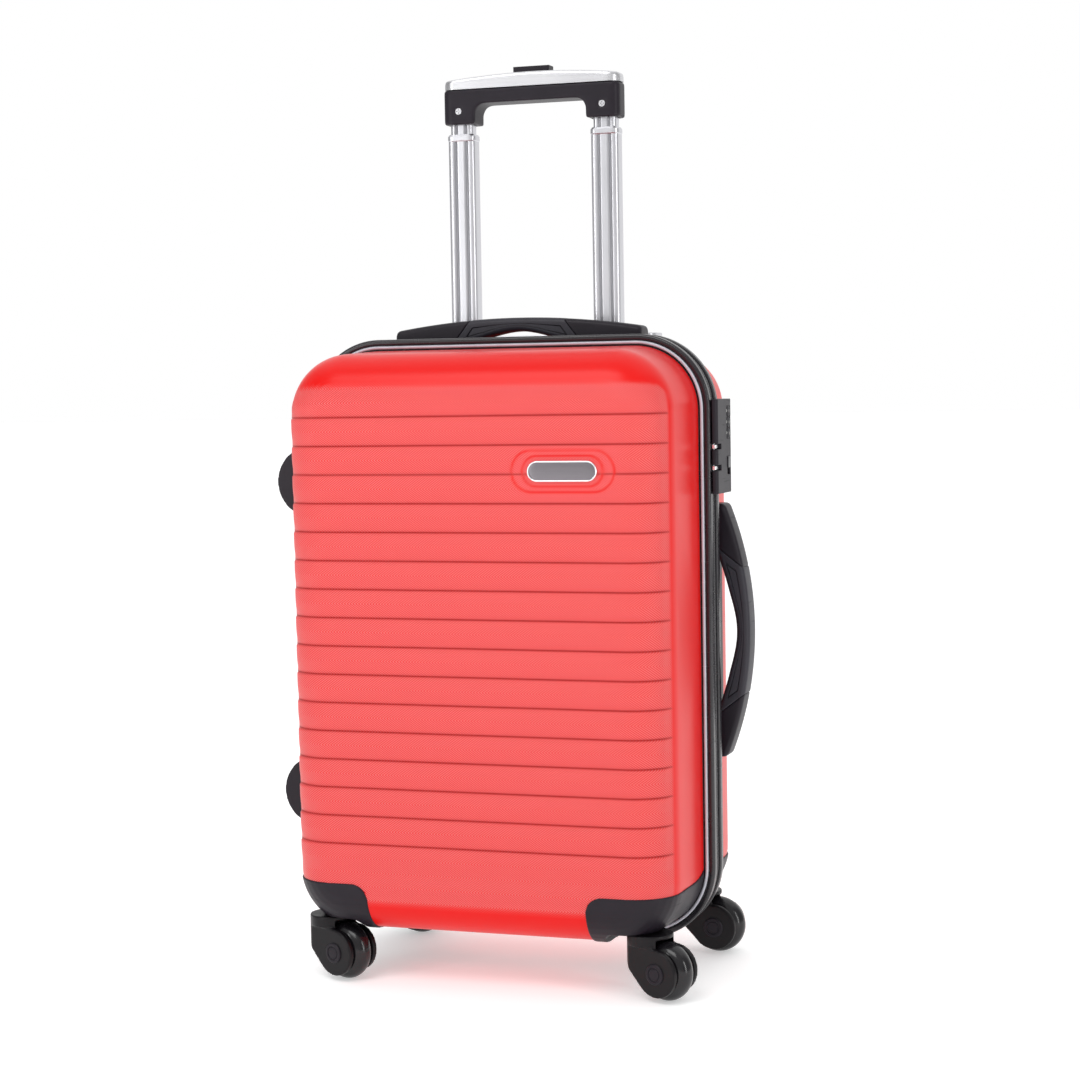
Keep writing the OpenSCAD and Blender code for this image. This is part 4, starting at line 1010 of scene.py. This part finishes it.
y = TUBE_Y + half[:, None] * side_y + roll * 0.8 * lean_y
z = lo[2] + (height[:, None] - roll) * edge + roll * lift
cap = surface("satin_grip_cap", [grid_part(np.stack([np.broadcast_to(x[:, None], y.shape), y, z], -1),
                                           (False, True),
                                           ("first", "last"))], satin, "trolley_inner", ["grip_cap"],
                                           40)
slot_lo, slot_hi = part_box("grip_button")
cut_away(cap, [[slot_lo[0] - 0.0004, slot_lo[1] - 0.0004, lo[2] - 0.01]],
         [[slot_hi[0] + 0.0004, slot_hi[1] + 0.0004, hi[2] + 0.02]])
softened("release_button_top", "grip_button", charcoal, "release_button", 0.0005, 4)
dress(steel, "grip_screws")

# ---------------------------------------------------------------- carrying handles
# Two low arched handles on the top and the side: nylon feet, and between slanting
# seams a softer black grip with a shallow inset panel on both faces.
soft_grip = moulded("soft_grip_rubber", (0.0240, 0.0220, 0.0300), 0.46, 1900.0, 0.00006, 0.33)
# painted shade: the groove round each inset panel is darkened in colour, where shade falls in it
darkened(soft_grip, "groove", 0.85, (0.0020, 0.0018, 0.0024))
HANDLE_W = 0.024
SEAM_SLANT = 0.75


def arched(x, length, height, end):
    """Arc through the end height at both ends and the full height at the middle."""
    rise = height - end
    radius = ((length / 2) ** 2 + rise ** 2) / (2 * rise)
    return height - radius + np.sqrt(np.maximum(radius ** 2 - x ** 2, 0))


def handle_part(length, height, low, gap_l, bar, start, stop, swell, panel, soft):
    """One stretch of a handle between two slanting seams, as a grid of rounded sections. Underside and top
    follow arcs; the section is drawn in by an eighth of a circle at each seam, and the panel is a groove on
    both faces."""
    u = np.unique(np.concatenate([np.linspace(start, stop, 70), start + np.array([.15, .35, .6, 1.0]) * mm,
                                  stop - np.array([.15, .35, .6, 1.0]) * mm,
                                  [v for p in panel for v in p + np.array([-1, -.5, 0, .5, 1]) * 0.7 * mm]]))
    u = u[(u >= start) & (u <= stop)]
    seam = min(abs(start), abs(stop))
    lean = SEAM_SLANT * np.clip(u / 0.04, -1, 1) * np.clip((length / 2 - np.abs(u)) / (length / 2 - seam), 0,
                                                           1)
    top_x = u
    for _ in range(6):
        top_x = u - lean * arched(top_x, length, height, low)
    top = arched(top_x, length, height, low)
    under = np.where(np.abs(u) < gap_l / 2, arched(u, gap_l, height - bar, 0.0), 0.0)
    under_x = u - lean * under
    to_seam = np.minimum(u - start, stop - u)
    pinch = 0.0006 * (1 - np.sqrt(1 - (1 - np.clip(to_seam / 0.001, 0, 1)) ** 2)) - swell
    to_foot = np.minimum(u + length / 2, length / 2 - u)
    foot = 0.003 * (1 - np.sqrt(1 - (1 - np.clip(to_foot / 0.003, 0, 1)) ** 2))
    tall = top - under
    r = np.minimum(0.0042, tall * 0.42)
    face = np.array([.1, .16, .2, .24, .28, .5, .7, .74, .78, .82, .88])
    q = np.radians(np.linspace(0, 90, 7))
    # section fractions: 0 to 1 up the front face, rounded into top and underside
    inner = (tall - 2 * r)[:, None]
    h_front = np.concatenate([r[:, None] * (1 - np.sin(q[::-1]))[None], r[:, None] + inner * face[None],
                              (tall - r)[:, None] + r[:, None] * np.sin(q)[None]], 1)
    w_front = HANDLE_W / 2 - np.concatenate([r[:, None] * (1 - np.cos(q[::-1]))[None], np.zeros((len(u), 11)),
                                             r[:, None] * (1 - np.cos(q))[None]], 1)
    inside = np.where((u > panel[0]) & (u < panel[1]), 1.0, 0.0)[:, None]
    edge_u = np.exp(-(np.minimum(np.abs(u - panel[0]), np.abs(u - panel[1])) / (0.45 * mm)) ** 2)[:, None]
    ring = np.zeros((len(u), h_front.shape[1]))
    ring[:, 9] = inside[:, 0]
    ring[:, 15] = inside[:, 0]
    ring[:, 9:16] = np.maximum(ring[:, 9:16], edge_u)
    sunk = np.zeros_like(ring)
    sunk[:, 10:15] = inside * 0.3
    w_front = w_front - 0.0009 * ring * soft - 0.0009 * sunk * soft - pinch[:, None] - foot[:, None] * 0.6
    tilt = (h_front / tall[:, None])
    x_at = under_x[:, None] + (top_x - under_x)[:, None] * tilt
    z_at = under[:, None] + h_front
    z_at = z_at + (0.5 - tilt) * 2 * pinch[:, None] * 0.8 - foot[:, None] * tilt * 0.8
    # the outline runs up the front face and down the back face
    x_all = np.concatenate([x_at, x_at[:, ::-1]], 1)
    y_all = np.concatenate([-w_front, w_front[:, ::-1]], 1)
    z_all = np.concatenate([z_at, z_at[:, ::-1]], 1)
    # painted shade: the groove's share, used to darken its colour
    shade_mask = np.concatenate([ring * soft, ring[:, ::-1] * soft], 1)
    return np.stack([x_all, y_all, z_all], -1), shade_mask.reshape(-1)


def handle(label, length, height, low, gap_l, grip_l, panel, to_world, nodes):
    """Both feet and the grip of a handle, each placed by to_world."""
    grip_u = grip_l / 2 + 0.0085
    feet = []
    for start, stop in ((-length / 2, -grip_u - 0.0002), (grip_u + 0.0002, length / 2)):
        grid, _ = handle_part(length, height, low, gap_l, 0.011, start, stop, 0.0, (9.0, 9.5), 0.0)
        feet.append(grid_part(to_world(grid), (False, True), ("first", "last")))
    surface(f"{label}_feet", feet, charcoal, "back_half", [nodes[0]], 38)
    grid, shade_mask = handle_part(length, height, low, gap_l, 0.011, -grip_u + 0.0002, grip_u - 0.0002, 0.0002,
                             panel, 1.0)
    piece = surface(f"{label}_grip", [grid_part(to_world(grid), (False, True), ("first", "last"))], soft_grip,
                    "back_half", [nodes[1]], 38)
    piece.data.attributes.new("groove", "FLOAT", "POINT").data.foreach_set("value", shade_mask.astype(np.float32))


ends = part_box("top_handle_ends")
TOP_L = ends[1][0] - ends[0][0]
TOP_Y = (ends[0][1] + ends[1][1]) / 2
TOP_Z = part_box("top_handle_grip")[1][2] - 0.027
handle("top_handle", TOP_L, 0.027, 0.018, 0.128, 0.104, (-0.0530, 0.0530),
       lambda g: g + np.array([0, TOP_Y, TOP_Z]), ("top_handle_ends", "top_handle_grip"))
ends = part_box("side_handle_ends")
SIDE_L = ends[1][2] - ends[0][2]
SIDE_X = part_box("side_handle_grip")[1][0] - 0.028
SIDE_Y = (ends[0][1] + ends[1][1]) / 2
SIDE_Z = (ends[0][2] + ends[1][2]) / 2
handle("side_handle", SIDE_L, 0.028, 0.008, 0.134, 0.122, (-0.0620, 0.0620),
       lambda g: np.stack([SIDE_X + g[..., 2], SIDE_Y + g[..., 1], SIDE_Z - g[..., 0]], -1),
       ("side_handle_ends", "side_handle_grip"))
softened("side_handle_plate", "side_handle_base", black, "back_half", 0.0008, 3)

# ---------------------------------------------------------------- side feet
# Four round-nosed nylon studs on the left side, two to a half, that the case lies
# on when it is laid down.
softened("base_side_feet", "back_feet", charcoal, "back_half", 0.0010, 10)
softened("lid_side_feet", "front_feet", charcoal, "front_half", 0.0010, 10)

# ---------------------------------------------------------------- badge
# A bright zinc oval pressed round a slightly domed plate of grey lacquered metal,
# stuck to the pad on the lid. Both are insets of one oval carried forward.
lo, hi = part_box("badge_bezel")
BADGE_L, BADGE_H = hi[0] - lo[0], hi[2] - lo[2]
lacquer = metal("grey_lacquered_plate", (0.20, 0.185, 0.20), 0.34, (30.0, 900.0, 900.0), 0.00001)
lacquer.node_tree.nodes["Principled BSDF"].inputs["Coat Weight"].default_value = 0.5


def oval_row(inset, proud):
    """Outline of the badge's oval drawn in by an inset, proud of the pad."""
    half = np.radians(np.linspace(-90, 90, 24))
    r = BADGE_H / 2 - inset
    right = np.stack([(BADGE_L - BADGE_H) / 2 + r * np.cos(half), r * np.sin(half)], 1)
    outline = np.concatenate([right, -right])
    return np.stack([BADGE[0] + outline[:, 0], np.full(48, hi[1] - proud), BADGE[1] + outline[:, 1]], 1)


rim = [(0, 0), (0, 1.2), (0.15, 1.7), (0.5, 2.1), (0.9, 2.2), (1.25, 2.0), (1.5, 1.6), (1.5, 0)]
surface("badge_rim", [grid_part(np.stack([oval_row(a * mm, b * mm) for a, b in rim]), (True, True))], chrome,
        "front_half", ["badge_bezel"], 50)
dome = [(1.5, 0), (1.5, 1.15), (1.8, 1.35), (2.6, 1.45), (4.5, 1.55), (7.0, 1.6)]
surface("badge_face", [grid_part(np.stack([oval_row(a * mm, b * mm) for a, b in dome]), (False, True),
                                 ("first", "last"))], lacquer, "front_half", ["badge_plate"],
                                 50)

# ---------------------------------------------------------------- casters
# Four swivel casters: a moulded fork on a steel stem, a wheel with a round glossy
# tread, and an axle pressed through with a ringed cap on each end.
fork_nylon = moulded("fork_nylon", (0.0060, 0.0050, 0.0062), 0.36, 1500.0, 0.00003, 0.22)
tyre = moulded("polyurethane_tyre", (0.0070, 0.0062, 0.0078), 0.2, 1100.0, 0.00001, 0.45)


def turned(profile, centre, axis, closed, steps=96):
    """A profile of [radius, along] carried round an axis through a centre."""
    profile = np.asarray(profile, float)
    axis = np.array(Vector(axis).normalized())
    up_axis = np.array([0.0, 0.0, 1.0])
    side = np.cross(up_axis, axis)
    a = np.linspace(0, 2 * math.pi, steps, endpoint=False)
    radial = np.cos(a)[:, None] * up_axis + np.sin(a)[:, None] * side
    grid = (np.array(centre) + profile[:, None, 1:2] * axis + profile[:, None, :1] * radial[None])
    return grid_part(grid, (closed, True), () if closed else ("first", "last"))


WHEEL_R = joints["roll_front_left"]["pos_m"][2]
TREAD = 0.010
crown = arc((WHEEL_R / mm - 10, 0), 10, -75, 75, 21) * mm
tyre_profile = np.concatenate([[[0.00305, -0.0085], [0.0090, -0.0085], [0.0100, -0.0096]], crown * [1, 0.98],
                               [[0.0100, 0.0096], [0.0090, 0.0085], [0.00305, 0.0085]]])
CHEEK = TREAD + 0.0012 + 0.0045
cap_half = np.array([[0.0030, 0.0], [0.0084, 0.0], [0.0084, 0.0006], [0.0078, 0.0012], [0.0068, 0.0014],
                     [0.0060, 0.0013], [0.0056, 0.0007], [0.0048, 0.0007], [0.0044, 0.0012], [0.0010,
                                                                                              0.0014]])
axle_profile = np.concatenate([(cap_half + [0, CHEEK])[::-1], (cap_half + [0, CHEEK]) * [1, -1]])
for end in ("front", "back"):
    for hand in ("left", "right"):
        place_name = f"{end}_{hand}"
        roll_joint = joints[f"roll_{place_name}"]
        softened(f"caster_fork_{place_name}", f"fork_{place_name}", fork_nylon, f"caster_{place_name}",
                 0.0008, 8)
        surface(f"caster_wheel_{place_name}", [turned(tyre_profile, roll_joint["pos_m"], roll_joint["axis"],
                                                      True)],
                tyre, f"roller_{place_name}", [f"wheel_{place_name}"], 40)
        surface(f"axle_caps_{place_name}", [turned(axle_profile, roll_joint["pos_m"], roll_joint["axis"],
                                                   False, 64)],
                charcoal, f"caster_{place_name}", [f"axle_{place_name}"], 30)

# ---------------------------------------------------------------- camera and light
# A long lens near the height of the handles, turned to the right, over a pale floor in a bright even
# studio, with a tall soft light to the right and to the front left and a broad one overhead.
TURN, RISE, ROLL = math.radians(18.5), math.radians(3.898), math.radians(-0.985)
AIM = Vector((0.02355, 0.0, 0.35567))
DISTANCE = 1.8946
away = Vector((math.sin(TURN) * math.cos(RISE), -math.cos(TURN) * math.cos(RISE), math.sin(RISE)))
right = (-away).cross(Vector((0, 0, 1))).normalized()
up = right.cross(-away)
right, up = (right * math.cos(ROLL) + up * math.sin(ROLL), up * math.cos(ROLL) - right * math.sin(ROLL))
lens = bpy.data.cameras.new("view")
lens.sensor_width = 36
lens.lens = 76.3
lens.clip_start = 0.05
camera = bpy.data.objects.new("view", lens)
turn = Matrix((right, up, away)).transposed().to_4x4()
turn.translation = AIM + away * DISTANCE
camera.matrix_world = turn
bpy.context.scene.collection.objects.link(camera)
bpy.context.scene.camera = camera
bpy.context.scene.view_settings.view_transform = "Standard"

floor_mesh = bpy.data.meshes.new("floor")
floor_mesh.from_pydata([(-30, -30, 0), (30, -30, 0), (30, 30, 0), (-30, 30, 0)], [], [(0, 1, 2, 3)])
floor = bpy.data.objects.new("floor", floor_mesh)
bpy.context.scene.collection.objects.link(floor)
pale, tree, shader = new_finish("pale_floor", (0.86, 0.86, 0.86), 0.7, Specular_IOR_Level=0.1,
                                Emission_Strength=0.4)
shader.inputs["Emission Color"].default_value = (1, 1, 1, 1)
floor_mesh.materials.append(pale)

# the sky is white beyond the case, a little brighter overhead, and greyer out to both sides and behind the
# lens
world = bpy.data.worlds.new("studio")
world.use_nodes = True
tree = world.node_tree
spot = add(tree, "ShaderNodeTexCoord")
split = add(tree, "ShaderNodeSeparateXYZ")
tree.links.new(spot.outputs["Generated"], split.inputs[0])
over = add(tree, "ShaderNodeMapRange", {1: 0.35, 2: 1.0, 3: 1.0, 4: 1.25}, interpolation_type="SMOOTHSTEP")
tree.links.new(split.outputs["Z"], over.inputs[0])
out = add(tree, "ShaderNodeMapRange", {1: 0.54, 2: 0.80, 3: 1.0, 4: 0.45}, interpolation_type="SMOOTHSTEP")
tree.links.new(maths(tree, "ABSOLUTE", split.outputs["X"]), out.inputs[0])
behind = add(tree, "ShaderNodeMapRange", {1: -0.25, 2: 0.05, 3: 0.62, 4: 1.0},
             interpolation_type="SMOOTHSTEP")
tree.links.new(split.outputs["Y"], behind.inputs[0])
sky = tree.nodes["Background"]
sky.inputs[0].default_value = (1, 1, 1, 1)
level = maths(tree, "MULTIPLY", over.outputs[0], out.outputs[0])
tree.links.new(maths(tree, "MULTIPLY", level, behind.outputs[0]), sky.inputs[1])
bpy.context.scene.world = world


def soft_light(name, place, towards, size, power):
    """A rectangular area light aimed at a point."""
    lamp = bpy.data.lights.new(name, "AREA")
    lamp.shape, lamp.size, lamp.size_y, lamp.energy = "RECTANGLE", size[0], size[1], power
    body = bpy.data.objects.new(name, lamp)
    direction = Vector(towards) - Vector(place)
    body.matrix_world = Matrix.Translation(place) @ direction.to_track_quat("-Z", "Y").to_matrix().to_4x4()
    bpy.context.scene.collection.objects.link(body)


soft_light("right_strip", (2.1, -0.9, 0.6), (0, 0, 0.30), (0.30, 1.6), 12)
soft_light("left_strip", (-1.3, -1.9, 0.6), (0, 0, 0.30), (0.30, 1.6), 9)
soft_light("overhead", (-0.3, -1.6, 2.2), (0, 0, 0.30), (1.6, 1.0), 20)
